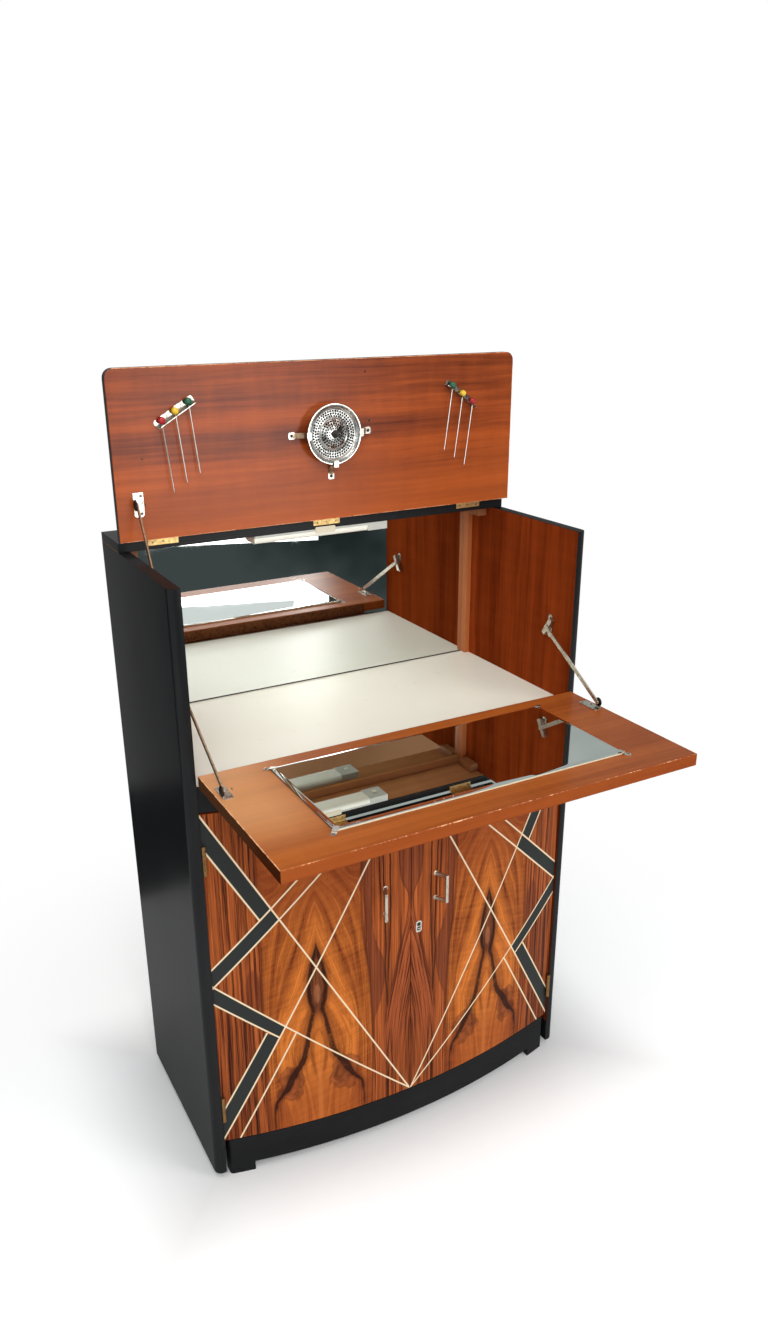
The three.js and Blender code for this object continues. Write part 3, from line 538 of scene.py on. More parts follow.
def by_height(z, points, widest=120.0):
    """A smooth curve through (height, distance) points, with distances up to the widest."""
    node = z.tree.nodes.new("ShaderNodeFloatCurve")
    line = node.mapping.curves[0]
    spots = [(height / TALLEST, 0.5 + distance / widest / 2) for height, distance in points]
    line.points[0].location = spots[0]
    line.points[1].location = spots[-1]
    for spot in spots[1:-1]:
        line.points.new(*spot)
    node.mapping.update()
    feed(z.tree, node.inputs["Value"], z * (1 / TALLEST))
    return (Field(z.tree, node.outputs[0]) - 0.5) * (2.0 * widest)


def veneer_middle(x, z, aside, wobble, ragged, fibre):
    """The golden middle of a leaf: chevrons above, a flame below, curl and a knot on each side."""
    ring = aside - by_height(z, FLAME) * aside.rise(112.0, 62.0) + wobble * 0.4
    growth = cloud(ring * 0.075, z * 0.004, 1.3, 5.0, 0.6)
    curl = cloud(x * 0.018 + wobble * 0.02, z * 0.12 + x * 0.03, 2.2)
    golden = ring.rise(26.0, -16.0)
    share = golden * 0.36 + 0.42 + growth.swing(2.0) + fibre.swing(0.6) + curl.swing(0.55)
    wood = blend(share.held(), tone(104, 42, 18), tone(212, 120, 50))
    contour = (ring * 0.16 + growth * 24.0).math("SINE").rise(0.72, 1.0)
    wood = blend(contour * 0.32, wood, tone(92, 36, 16))
    ruddy = z.rise(470.0, 600.0) * 0.5 + z.rise(215.0, 110.0) * 0.55
    wood = blend(ruddy, wood, blend(growth, tone(104, 40, 18), tone(178, 88, 44)))
    light_streak = aside.rise(9.0, 0.5) * z.rise(235.0, 190.0) * 0.55
    wood = blend(light_streak, wood, tone(206, 118, 58))
    knot_x, knot_z, half_width, half_height = KNOT
    across = (aside - knot_x + ragged * 1.2) * (1 / half_width)
    up = (z - knot_z + ragged * 1.6) * (1 / half_height)
    swirl = cloud(x * 0.024, z * 0.021, 6.6)
    knot = squares(across, up).math("SQRT") + swirl.swing(2.2)
    blotch = cloud(x * 0.035, z * 0.03, 9.1, 3.0).rise(0.40, 0.62)
    wood = blend(knot.rise(1.2, 0.7) * 0.7, wood, blend(blotch, tone(76, 34, 22), tone(152, 78, 46)))
    outline = (knot - 1.0).size().rise(0.18, 0.02).most((knot - 0.5).size().rise(0.14, 0.02) * 0.7)
    return blend(outline * 0.34, wood, tone(50, 22, 14))


def veneer_flank(x, z, wobble, ragged, fibre):
    """The striped flanks of a leaf: bands and dark lines, a fan of lines at the meeting edge."""
    row = x + wobble * 0.3
    streak = cloud(row * 0.20, z * 0.0030, 6.4, 5.0, 0.66)
    fine = cloud(row * 0.8, z * 0.006, 9.9, 4.0, 0.6)
    shadow = x.rise(315.0, 330.0) * z.rise(400.0, 330.0) * 0.22
    share = (streak.swing(3.2) + fine.swing(1.6) + 0.50 - shadow).held()
    wood = blend(share, tone(84, 36, 20), tone(190, 100, 48))
    wood = blend(streak.rise(0.42, 0.35) * 0.85, wood, tone(44, 20, 12))
    lines = union([(row - place + ragged * 0.3).size().rise(2.4, 0.5) for place in OUTER_LINES])
    wood = blend(lines * fibre.rise(0.2, 0.6) * 0.8, wood, tone(48, 22, 14))
    blot_x, blot_z, half_width, half_height = OUTER_BLOT
    blot = squares((x - blot_x + ragged) * (1 / half_width), (z - blot_z) * (1 / half_height))
    wood = blend(blot.rise(1.2, 0.7) * 0.6, wood, tone(92, 42, 26))

    off = (row - by_height(z, DARK_BAND) + ragged * 0.7).size()
    band = by_height(z, DARK_BAND_HALF) - off
    stripe = (fine.swing(1.8) + streak.swing(1.4) + 0.45).held()
    wood = blend(band.rise(-1.6, 1.6) * 0.78, wood, blend(stripe, tone(60, 27, 19), tone(138, 70, 42)))
    wood = blend(band.size().rise(2.2, 0.4) * 0.32, wood, tone(46, 20, 14))
    for place in (OUTER_STREAK, INNER_STREAK):
        off = (row - by_height(z, place) + ragged * 0.35).size()
        line = (by_height(z, STREAK_HALF) - off).rise(-1.0, 0.8)
        wood = blend(line * 0.85, wood, tone(44, 20, 12))
    inward = x - by_height(z, MEETING_HALF) + ragged * 0.25
    fan = cloud(inward * 0.34 + wobble * 0.03, z * 0.006, 3.3, 4.0, 0.66)
    spread = blend(fan.rise(0.38, 0.60), tone(66, 28, 18), tone(174, 90, 50))
    solid = blend(stripe, tone(78, 36, 24), tone(150, 78, 46))
    meeting = blend(z.rise(500.0, 530.0), spread, solid)
    wood = blend(inward.rise(2.0, -2.0) * z.rise(60.0, 330.0) * 0.85, wood, meeting)
    return blend(inward.size().rise(2.2, 0.4) * z.rise(280.0, 470.0) * 0.5, wood, tone(46, 20, 14))


def figured_veneer(x, z, axis):
    """Walnut with a mirrored flame: a dark heart, golden sides and dark streaked flanks.

    Gives the colour and the noise of its fibres.
    """
    wobble = cloud(x * 0.010, z * 0.005, 3.7, 3.0).swing(24.0)
    ragged = cloud(x * 0.09, z * 0.035, 8.1, 4.0, 0.65).swing(8.0)
    fibre = cloud(x * 0.9, z * 0.012, 5.2, 3.0, 0.6)
    aside = (x - axis).size()
    inner = by_height(z, SEAM_PLACE) - x + ragged * 0.3 + wobble * 0.2
    outer = x - axis - 101.0 + ragged * 0.3 + wobble * 0.2
    seam = inner.most(outer)
    golden = veneer_middle(x, z, aside, wobble, ragged, fibre)
    wood = blend(seam.rise(-1.5, 1.5), golden, veneer_flank(x, z, wobble, ragged, fibre))
    wood = blend(seam.size().rise(4.0, 0.5) * 0.5, wood, tone(72, 30, 16))

    half = by_height(z, HEART_HALF, 30.0) + ragged * 0.45
    heart = (half - aside).rise(-1.5, 1.5) * z.rise(296.0, 346.0)
    stripe = cloud(x * 0.42, z * 0.010, 7.7, 4.0, 0.6)
    core = blend(stripe.rise(0.3, 0.7), tone(50, 25, 16), tone(126, 72, 46))
    _, lens_z, half_width, half_height = LENS
    lens = squares(aside * (1 / half_width), (z - lens_z) * (1 / half_height))
    core = blend(lens.rise(1.2, 0.5) * 0.6, core, tone(168, 108, 74))
    wood = blend(heart * 0.9, wood, core)
    off = (aside - by_height(z, LEG_OFFSET) + ragged * 0.9 + wobble * 0.12).size()
    leg_half = by_height(z, LEG_HALF, 30.0)
    broken = cloud(x * 0.05, z * 0.05, 4.4, 4.0, 0.7).rise(0.24, 0.5)
    leg = (leg_half + ragged * 0.6 - off).rise(-2.2, 2.0) * (broken * 0.4 + 0.5)
    halo = (leg_half + 8.0 + ragged - off).rise(-5.0, 7.0)
    wood = blend(halo * 0.46, wood, tone(92, 42, 22))
    return blend(leg, wood, tone(40, 19, 12)), fibre


def door_veneer(name):
    """The doors: figured walnut with cream lines and black bands, mahogany inside."""
    finish = Finish(name)
    x, y, z = finish.place
    across = x.size()
    height = z - PATTERN_FOOT
    axis = x.rise(-1.0, 1.0) * (RIGHT_AXIS - LEFT_AXIS) + LEFT_AXIS
    wood, fibre = figured_veneer(across, height, axis)
    lines = line_mask(finish.tree, across, height)
    bands = band_mask(finish.tree, across, height)
    paint = satin_paint(finish.tree, across + height, across - height, y, tone(46, 50, 48))[0]
    speck = cloud(across * 0.4, height * 0.4, y * 0.1)
    string = blend(speck, tone(228, 203, 162), tone(244, 227, 196))
    face = blend(lines, blend(bands, wood, paint), string)
    inner = straight_grain(finish.tree, z, x, y, *WALL_WOOD, 0.7)[0]
    colour = blend(finish.facing("Y").rise(-0.4, -0.6), inner, face)
    finish.set(Specular_IOR_Level=0.03, Coat_Weight=0.03, Coat_Roughness=0.16)
    rough = fibre.swing(0.12) + bands * 0.1 + 0.3
    return finish.surface(colour, rough, fibre * 0.3 + lines * 0.4 + bands * 0.2, 0.08)


def flap_wood(name):
    """The flap: mahogany inside and on its edges, figured walnut outside."""
    finish = Finish(name)
    x, y, _ = finish.place
    colour, height, rough = straight_grain(finish.tree, *finish.place, *FLAP_WOOD, 0.75)
    flap_low, flap_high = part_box("flap_panel")
    top = ("Z", FLAP_TOP_Z)
    edges = [(("Y", flap_low.y), top), (("X", flap_low.x), top), (("X", flap_high.x), top)]
    # Painted sheen: the flap's left part near the hinge is lightened, a highlight painted into the colour.
    bleached = x.rise(-190.0, -340.0) * y.rise(-345.0, -170.0) * 0.56
    colour = blend(bleached, colour, tone(232, 172, 118))
    # Painted shade: the flap's right end is darkened.
    colour = blend(x.rise(120.0, 400.0) * 0.3, colour, tone(112, 48, 26))
    # The flap's ends are darkened to near black: painted shade, over end grain that is a little darker of
    # itself.
    end_grain = finish.facing("X").size().rise(0.5, 0.7)
    front = finish.facing("Y").rise(-0.5, -0.7)
    colour = blend(end_grain * 0.9, colour, tone(44, 17, 10))
    colour = blend(front * 0.45, colour, tone(150, 72, 40))
    colour = rub_edges(finish, colour, edges, tone(236, 178, 132))
    flame, _ = figured_veneer(x.size(), y * -1.0 + 200.0, RIGHT_AXIS)
    colour = blend(finish.facing("Z").rise(-0.6, -0.8), colour, flame)
    finish.set(
        Specular_IOR_Level=0.0, Coat_Weight=finish.facing("Z").rise(0.6, 0.9) * 0.5, Coat_Roughness=0.26)
    return finish.surface(colour, rough + 0.32, height)


def cream_laminate(name):
    finish = Finish(name)
    cast = lumps(finish.place, 0.006, 3.0)
    grit = lumps(finish.place, 0.9)
    stain = lumps(finish.place, 0.03, 4.0).rise(0.62, 0.8)
    colour = blend(cast, tone(232, 230, 214), tone(241, 240, 227))
    colour = blend(stain * 0.18, colour, tone(196, 180, 146))
    return finish.surface(colour, grit.swing(0.08) + 0.3, grit, 0.03)


def silvered_glass(name, axis, spots=0.5, foot=None):
    """Mirror glass that faces along an axis. Its cut edges are plain: pale, and dark at the ends.

    Below foot the colour is darkened: painted shade in the joint where the glass stands on a board.
    """
    finish = Finish(name)
    x, y, z = finish.place
    smear = cloud(x * 0.012, y * 0.02, z * 0.02, 4.0, 0.6)
    spot = lumps(finish.place, 0.12, 3.0).rise(0.74, 0.82)
    colour = blend(spot * spots, tone(226, 231, 229), tone(150, 146, 136))
    if foot is not None:
        # Painted shade: a dark band along the foot of the glass.
        colour = blend((z - foot * TO_MM).rise(3.4, 2.4), colour, tone(44, 34, 28))
    silver = finish.facing(axis).size().rise(0.55, 0.85)
    cut = blend(finish.facing("X").size().rise(0.5, 0.8), tone(222, 212, 178), tone(40, 32, 26))
    finish.set(Metallic=silver)
    return finish.surface(blend(silver, cut, colour), smear.rise(0.45, 0.75) * 0.03 + 0.306 - silver * 0.3)


def old_metal(name, bright, dull, wear, roughness):
    """Old plating from a bright to a dull colour, given by the values of a screen."""
    finish = Finish(name)
    colour, rough, height = handled_metal(finish.tree, *finish.place, tone(*bright), tone(*dull), wear)
    finish.set(Metallic=1.0)
    return finish.surface(colour, rough + roughness, height, 0.05)


def bowl_metal(name):
    """Chrome, with the inside of the bowl darkened and dulled as painted shade."""
    finish = Finish(name)
    colour, rough, height = handled_metal(
        finish.tree, *finish.place, tone(226, 226, 222), tone(140, 136, 128), 0.5)
    # Painted shade: the bowl's inside is darkened so that the strainer's holes look dark.
    inside = (finish.place[1] - (LID_FACE_Y * TO_MM - 17.5)).rise(-1.0, 1.0)
    deep = inside * finish.facing("Y").rise(-0.1, -0.3)
    finish.set(Metallic=1.0)
    return finish.surface(blend(deep, colour, tone(30, 27, 24)), rough + deep * 0.4 + 0.1, height, 0.05)


def moulded_plastic(name, shade, other, roughness):
    finish = Finish(name)
    cast = lumps(finish.place, 0.05, 3.0)
    grit = lumps(finish.place, 1.2)
    return finish.surface(blend(cast, shade, other), grit.swing(0.1) + roughness, grit, 0.03)


def raw_wood(name, order, light, dark):
    finish = Finish(name)
    colour, height, rough = straight_grain(finish.tree, *finish.along(order), light, dark, 0.7)
    return finish.surface(colour, rough + 0.58, height, 0.2)


def stick_finish(name, ball, shade):
    """A cocktail stick: a glossy coloured ball on a thin metal shank."""
    finish = Finish(name)
    node = finish.tree.nodes.new("ShaderNodeVectorMath")
    node.operation = "LENGTH"
    away = vector(*[axis - spot * TO_MM for axis, spot in zip(finish.place, ball)])
    feed(finish.tree, node.inputs[0], away)
    shank = Field(finish.tree, node.outputs["Value"]).rise(4.7, 5.0)
    streak = lumps(finish.place, 0.5)
    colour = blend(shank, blend(streak, dimmed(shade, 0.75), shade), tone(206, 200, 190))
    finish.set(Metallic=shank)
    return finish.surface(colour, streak.swing(0.1) + 0.16)


# Modelling. Widths, radii and profiles are in millimetres, places and vectors in metres.

def pick(piece):
    """Leaves one piece selected and active."""
    bpy.ops.object.select_all(action="DESELECT")
    piece.hide_set(False)
    piece.select_set(True)
    bpy.context.view_layer.objects.active = piece


def apply_modifier(piece, kind, **settings):
    pick(piece)
    modifier = piece.modifiers.new(kind.title(), kind)
    for label, value in settings.items():
        setattr(modifier, label, value)
    bpy.ops.object.modifier_apply(modifier=modifier.name)


def soften(piece, width, segments=2, angle=40):
    """Bevels a piece's sharp edges."""
    apply_modifier(
        piece, "BEVEL", width=width * MM, segments=segments, limit_method="ANGLE",
        angle_limit=math.radians(angle), use_clamp_overlap=True,
    )


def carve(piece, tool):
    """Takes a tool's shape out of a piece."""
    apply_modifier(piece, "BOOLEAN", operation="DIFFERENCE", object=tool)
    bpy.data.objects.remove(tool)


def smooth(piece, angle=32.0):
    pick(piece)
    bpy.ops.object.shade_smooth_by_angle(angle=math.radians(angle))


def finish_piece(piece, body, finish, angle=32.0):
    """Puts a piece's place in its mesh, smooths it, gives it a finish and a body."""
    pick(piece)
    bpy.ops.object.transform_apply(location=True, rotation=True, scale=True)
    smooth(piece, angle)
    apply_modifier(piece, "WEIGHTED_NORMAL", keep_sharp=True, weight=60)
    piece.data.materials.clear()
    piece.data.materials.append(finish)
    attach(piece, body)
    return piece


def body_of(node):
    return frame["nodes"][node]["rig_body"]


def eased(node, finish, width, segments=2):
    """A dressed copy of a CAD node: the same shape with its sharp edges softened."""
    piece = frame["nodes"][node].copy()
    piece.data = piece.data.copy()
    piece.name = f"{node}_dressed"
    piece.parent = None
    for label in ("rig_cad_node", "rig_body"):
        del piece[label]
    bpy.context.scene.collection.objects.link(piece)
    pick(piece)
    bpy.ops.object.mode_set(mode="EDIT")
    bpy.ops.mesh.select_all(action="SELECT")
    bpy.ops.mesh.remove_doubles(threshold=0.00001)
    bpy.ops.mesh.dissolve_limited(angle_limit=math.radians(0.2))
    bpy.ops.object.mode_set(mode="OBJECT")
    if width:
        soften(piece, width, segments, 35)
    finish_piece(piece, body_of(node), finish)
    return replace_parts(piece, node)


def add_plane(name, size, place=(0, 0, 0)):
    bpy.ops.object.select_all(action="DESELECT")
    bpy.ops.mesh.primitive_plane_add(size=size, location=place)
    plane = bpy.context.active_object
    plane.name = name
    return plane


def edge_along(name, points):
    """A chain of edges through points, drawn out of one corner of a small plane."""
    piece = add_plane(name, MM, points[0])
    bpy.ops.object.transform_apply(location=True)
    bpy.ops.object.mode_set(mode="EDIT")
    bpy.ops.mesh.select_all(action="SELECT")
    bpy.ops.mesh.merge(type="CENTER")
    for start, end in zip(points, points[1:]):
        bpy.ops.mesh.extrude_vertices_move(TRANSFORM_OT_translate={"value": end - start})
    bpy.ops.mesh.select_all(action="SELECT")
    return piece


def close_mesh():
    """Turns all faces outward and leaves edit mode."""
    bpy.ops.mesh.select_all(action="SELECT")
    bpy.ops.mesh.normals_make_consistent(inside=False)
    bpy.ops.object.mode_set(mode="OBJECT")


def bent_strip(name, points, across, thickness, body, finish, bevel):
    """A strip of sheet metal bent along points; across is its width as a vector."""
    piece = edge_along(name, [point - across / 2 for point in points])
    bpy.ops.mesh.extrude_edges_move(TRANSFORM_OT_translate={"value": across})
    close_mesh()
    apply_modifier(piece, "SOLIDIFY", thickness=thickness * MM, offset=0.0)
    soften(piece, bevel)
    return finish_piece(piece, body, finish)


def spun(name, profile, foot, axis, steps, body, finish, wall=None, smoothing=32.0):
    """A body turned about an axis through its foot. profile is (radius, height)."""
    axis = axis.normalized()
    side = axis.orthogonal().normalized()
    piece = edge_along(name, [foot + side * radius * MM + axis * rise * MM for radius, rise in profile])
    bpy.ops.mesh.spin(steps=steps, angle=2 * math.pi, center=foot, axis=axis, use_auto_merge=True)
    bpy.ops.mesh.select_all(action="SELECT")
    bpy.ops.mesh.remove_doubles(threshold=0.00002)
    close_mesh()
    if wall:
        apply_modifier(piece, "SOLIDIFY", thickness=wall * MM, offset=0.0)
    return finish_piece(piece, body, finish, smoothing)


def plate_piece(name, corners, thickness, body, finish, bevel=0.25):
    """A flat plate: corners in order round its back face, thickness as a vector."""
    piece = edge_along(name, corners)
    bpy.ops.mesh.edge_face_add()
    bpy.ops.mesh.extrude_region_move(TRANSFORM_OT_translate={"value": thickness})
    close_mesh()
    soften(piece, bevel)
    return finish_piece(piece, body, finish)


def rectangle(left, right, foot, top):
    return (left, foot), (right, foot), (right, top), (left, top)


def rounded_corners(width, height, radius, steps=5):
    """Points round a rectangle with rounded corners, about zero."""
    points = []
    for quarter, (sx, sy) in enumerate(((1, 1), (-1, 1), (-1, -1), (1, -1))):
        for step in range(steps + 1):
            angle = math.pi / 2 * (quarter + step / steps)
            points.append((
                sx * (width / 2 - radius) + radius * math.cos(angle),
                sy * (height / 2 - radius) + radius * math.sin(angle),
            ))
    return points


def in_plane(middle, across, up, points):
    return [middle + across * u * MM + up * v * MM for u, v in points]


ROUND_STEPS = 20
SCREW_TURN = 0.6
screws = []


def screw(place, way, body, finish, radius, rise=0.95):
    """A slotted screw with a low domed head that faces a way, each slot at its own angle."""
    across = Matrix.Rotation(SCREW_TURN + len(screws), 3, way) @ way.orthogonal().normalized()
    profile = [
        (0.02, rise), (radius * 0.55, rise * 0.84), (radius * 0.88, rise * 0.44), (radius, 0.02),
        (radius * 0.7, -0.1),
    ]
    piece = spun(f"screw_{len(screws) + 1:02d}", profile, place, way, ROUND_STEPS, body, finish)
    bpy.ops.object.select_all(action="DESELECT")
    bpy.ops.mesh.primitive_cube_add(size=1)
    slot = bpy.context.active_object
    turned = Matrix((across, way.cross(across), way)).transposed().to_4x4()
    size = Matrix.Diagonal((radius * 2.4 * MM, radius * 0.28 * MM, (rise + 0.15) * MM, 1))
    slot.matrix_world = Matrix.Translation(place + way * rise * MM) @ turned @ size
    carve(piece, slot)
    screws.append(piece)


def cut_hole(piece, middle, axis, radius, depth):
    """Bores a round hole through a piece."""
    bpy.ops.object.select_all(action="DESELECT")
    bpy.ops.mesh.primitive_cylinder_add(
        vertices=24, radius=radius * MM, depth=depth * MM, location=middle,
        rotation=axis.to_track_quat("Z", "Y").to_euler(),
    )
    carve(piece, bpy.context.active_object)
    smooth(piece)


# The finishes of this cabinet

paint_board = black_paint("black paint along the width")
paint_rail = black_paint("black paint of the rail")
paint_plinth = black_paint("black paint of the plinths")

EVERYWHERE = 9.0
PAINT_EDGE = 1.6 * MM
INNER_EDGE = 1.2 * MM
TOP_EDGE = 0.6 * MM
lid_high = high("lid_panel")
lid_wood = mahogany(
    "mahogany of the lid", "XZY", LID_WOOD, 1.3, 0.3,
    edges=[
        (("Y", LID_FACE_Y), ("Z", lid_high.z)), (("Y", LID_FACE_Y), ("Z", LID_FOOT_Z)),
        (("Y", LID_FACE_Y), ("X", lid_high.x)),
    ],
    # The lid's lower part is painted paler: painted light bounced up from the worktop.
    painted=[("Y", -EVERYWHERE, LID_FACE_Y + PAINT_EDGE)], sheen=0.5, pale=(1.36, 1.19),
    nail_holes=[(73, 1451, 1.5), (81, 1364, 2.2), (-350, 1328, 1.4), (73.0, 1449.5, 1.0)],
)
side_inner = high("side_left").x
side_edges = [
    ("Y", CASE_FRONT_Y + PAINT_EDGE, EVERYWHERE), ("Z", low("cupboard_floor").z, CASE_TOP_Z - TOP_EDGE),
]
side_woods = {
    side: mahogany(f"mahogany of the {side} side", "ZYX", WALL_WOOD, 0.9, 0.34, painted=[span, *side_edges])
    for side, span in (
        ("left", ("X", side_inner - INNER_EDGE, EVERYWHERE)),
        ("right", ("X", -EVERYWHERE, -side_inner + INNER_EDGE)),
    )
}
inner_wood = mahogany("mahogany of the cupboard", "XYZ", (tone(168, 96, 56), tone(112, 56, 30)), 0.7, 0.45)
back_wood = raw_wood("pale wood of the back", "ZXY", tone(196, 154, 106), tone(150, 108, 66))
batten_wood = raw_wood("amber wood of the battens", "ZXY", tone(202, 118, 58), tone(146, 76, 34))
block_wood = raw_wood("brown wood of the blocks", "XYZ", tone(160, 100, 58), tone(110, 64, 34))
door_wood = door_veneer("figured walnut of the doors")
flap_finish = flap_wood("mahogany of the flap")
worktop_finish = cream_laminate("cream laminate of the worktop")
back_glass = silvered_glass("silvered glass of the back", "Y", foot=low("back_mirror").z)
flap_glass = silvered_glass("silvered glass of the flap", "Z", 0.8)
brass = old_metal("old brass", (222, 188, 124), (132, 98, 56), 0.8, 0.3)
brown_brass = old_metal("browned brass of the long hinge", (124, 76, 48), (82, 46, 30), 0.9, 0.5)
dull_brass = old_metal("dull brass of the door hinges", (140, 106, 66), (76, 54, 34), 0.9, 0.4)
nickel = old_metal("dull nickel", (196, 188, 172), (128, 116, 98), 0.7, 0.32)
bright_nickel = old_metal("bright nickel", (206, 203, 194), (132, 124, 110), 0.6, 0.24)
# Browned, darkened nickel: on the rods it is worn to the brass; on the juicer's clip arms its dark brown is
# painted shade and a painted reflection of the lid's wood.
worn_nickel = old_metal("nickel worn to the brass", (158, 136, 112), (98, 72, 50), 0.9, 0.32)
black_iron = old_metal("blackened iron", (58, 54, 50), (30, 27, 25), 0.9, 0.42)
dark_steel = old_metal("darkened steel", (120, 112, 102), (52, 46, 42), 0.9, 0.3)
tin = old_metal("tinned steel of the strainer", (186, 187, 183), (84, 81, 76), 0.9, 0.18)
plating = old_metal("bright plating of the stick holders", (188, 185, 174), (90, 82, 70), 0.9, 0.12)
light_white, light_grey, diffuser, plate_paint = [
    moulded_plastic(name, tone(*shade), tone(*other), roughness)
    for name, shade, other, roughness in (
        ("white plastic of the light", (236, 234, 222), (226, 222, 204), 0.35),
        ("grey plastic of the light", (196, 197, 190), (182, 182, 174), 0.4),
        ("milky plastic of the light's window", (246, 246, 236), (238, 236, 222), 0.25),
        ("cream paint of the light's plate", (226, 219, 196), (208, 198, 170), 0.4),
    )
]
STICK_COLOURS = {"red": tone(180, 12, 26), "yellow": tone(236, 190, 44), "green": tone(20, 96, 66)}


# The case

for side in SIDES:
    eased(f"side_{side}", side_woods[side], 0.9)
eased("bow_shelf_board", paint_board, 1.0)
rear_low = low("rear_top_board")
rear_wood = mahogany(
    "stained wood under the rear board", "XYZ", (tone(196, 136, 92), tone(150, 98, 62)), 0.6, 0.42,
    painted=[("Z", -EVERYWHERE, rear_low.z + MM), ("Y", rear_low.y + MM, EVERYWHERE)],
)
eased("rear_top_board", rear_wood, 0.8)
eased("bow_rail", paint_rail, 0.8)
for node in ("plinth_front", "plinth_rear"):
    eased(node, paint_plinth, 0.8)
for node in ("cupboard_floor", "cupboard_shelf"):
    eased(node, inner_wood, 0.8)
eased("back_panel", back_wood, 0.4)
for side in SIDES:
    eased(f"corner_batten_{side}", batten_wood, 0.7)
    eased(f"glue_block_{side}", block_wood, 0.7)
eased("cream_worktop", worktop_finish, 0.5)
eased("back_mirror", back_glass, 0.6)
RAIL_TALL = 18
RAIL_DEEP = 5
glass_low, glass_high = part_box("back_mirror")
rail = rectangle(
    glass_low.x + 2 * MM, glass_high.x - 2 * MM, glass_high.z - RAIL_TALL * MM, glass_high.z - 0.5 * MM)
rail_corners = [Vector((x, glass_low.y - 0.2 * MM, z)) for x, z in rail]
plate_piece("mirror_top_rail", rail_corners, FRONT * RAIL_DEEP * MM, "case", rear_wood, 0.6)
eased("light_housing", light_grey, 0.4)
eased("light_diffuser", diffuser, 0.5)
eased("light_bracket", plate_paint, 0.3)
eased("light_switch", light_white, 0.4)
for side in ("left", "middle", "right"):
    eased(f"lid_hinge_{side}", brass, 0.15)
for side in SIDES:
    for level in ("top", "bottom"):
        eased(f"door_hinge_{side}_{level}", dull_brass, 0.2)
eased("flap_hinge_base", brown_brass, 0.0)
eased("flap_hinge_leaf", brown_brass, 0.0)


# The lid and what it carries

eased("lid_panel", lid_wood, 0.9)
eased("lid_stay_plate", bright_nickel, 0.25)
eased("lid_stay_rod", worn_nickel, 0.4)
eased("lid_stay_guide", bright_nickel, 0.5)
for side in SIDES:
    eased(f"stick_holder_{side}", plating, 0.3)
BALL_RADIUS = 4.75
BEAD_RADIUS = 6.3
BEAD_STEPS = 16
BEAD_PROFILE = [
    (BEAD_RADIUS * math.sin(turn) + 0.01, -BEAD_RADIUS * math.cos(turn))
    for turn in (math.pi * step / BEAD_STEPS for step in range(BEAD_STEPS + 1))
]
for side, colours in (("left", ("red", "yellow", "green")), ("right", ("green", "yellow", "red"))):
    for number, colour in enumerate(colours, 1):
        node = f"cocktail_stick_{side}_{number}"
        shade = STICK_COLOURS[colour]
        outer_x = low(node).x if side == "left" else high(node).x
        ball = Vector((outer_x, centre(node).y, high(node).z))
        ball -= Vector((SIDES[side], 0, 1)) * BALL_RADIUS * MM
        eased(node, stick_finish(f"{colour} ball and shank {side}", ball, shade), 0.0)
        plastic = moulded_plastic(f"{colour} plastic of the {side} bead", shade, dimmed(shade, 0.6), 0.12)
        middle = ball + UP * 1.5 * MM
        spun(f"bead_{side}_{number}", BEAD_PROFILE, middle, UP, 28, "lid", plastic, smoothing=60)


# The juicer: a bowl, a strainer in its rim and three sprung clips

BOWL_PROFILE = [
    (0.02, 0.7), (20, 0.7), (25, 0.8), (30, 2.0), (38, 5.2), (44, 9.6), (46.8, 14), (48.8, 18.5),
    (50.4, 20.2), (52.2, 20.5), (53.3, 20.4), (53.7, 19.6), (53.3, 18.9),
]
DISH_PROFILE = [
    (50.7, 20.9), (50.6, 21.3), (50.2, 21.5), (49.8, 21.2), (49.5, 20.4), (49.3, 19.4), (49.1, 18.4),
    (48.7, 17.7), (48.0, 17.3), (47.3, 16.9), (46.7, 15.9), (45.8, 15.3), (44.9, 15.1), (44.2, 14.7),
    (43.5, 14.1), (42.6, 13.9), (36.0, 13.9), (29.6, 13.9), (28.8, 14.3), (28.1, 15.1), (27.3, 15.3),
    (26.5, 14.9), (25.8, 14.6), (24.4, 15.1), (22.0, 16.1), (19.0, 17.2), (16.0, 18.0), (13.0, 18.6),
    (10.0, 19.0), (6.0, 19.3), (0.02, 19.4),
]
CLIP_PATH = [
    (74, 0.75), (71, 0.75), (68, 1.4), (60, 5.0), (56.2, 8.2), (54.9, 10.5), (54.9, 22.0), (54.2, 23.2),
    (50.8, 23.4),
]
LEVER_OUTLINE = [(3, -2.6), (22, -1.6), (23.5, 0), (22, 1.6), (3, 2.6)]
LEVER_WAY = Vector((0.80, 0, 0.60))
LEVER_ASIDE = Vector((-0.60, 0, 0.80))
# Rings of holes as (radius of the ring, radius of a hole)
HOLE_RINGS = [(40.2, 1.95), (35.8, 1.95), (31.4, 1.9), (22.9, 1.75), (18.6, 1.7), (14.3, 1.65), (10.2, 1.5)]
HOLE_PITCH = 4.9
RING_TURN = 0.37
DRILL_DEPTH = 16


def on_juicer(way, out, rise):
    """A place out from the juicer's middle along a way, and forward of the lid."""
    return JUICER_FOOT + way * out * MM + FRONT * rise * MM


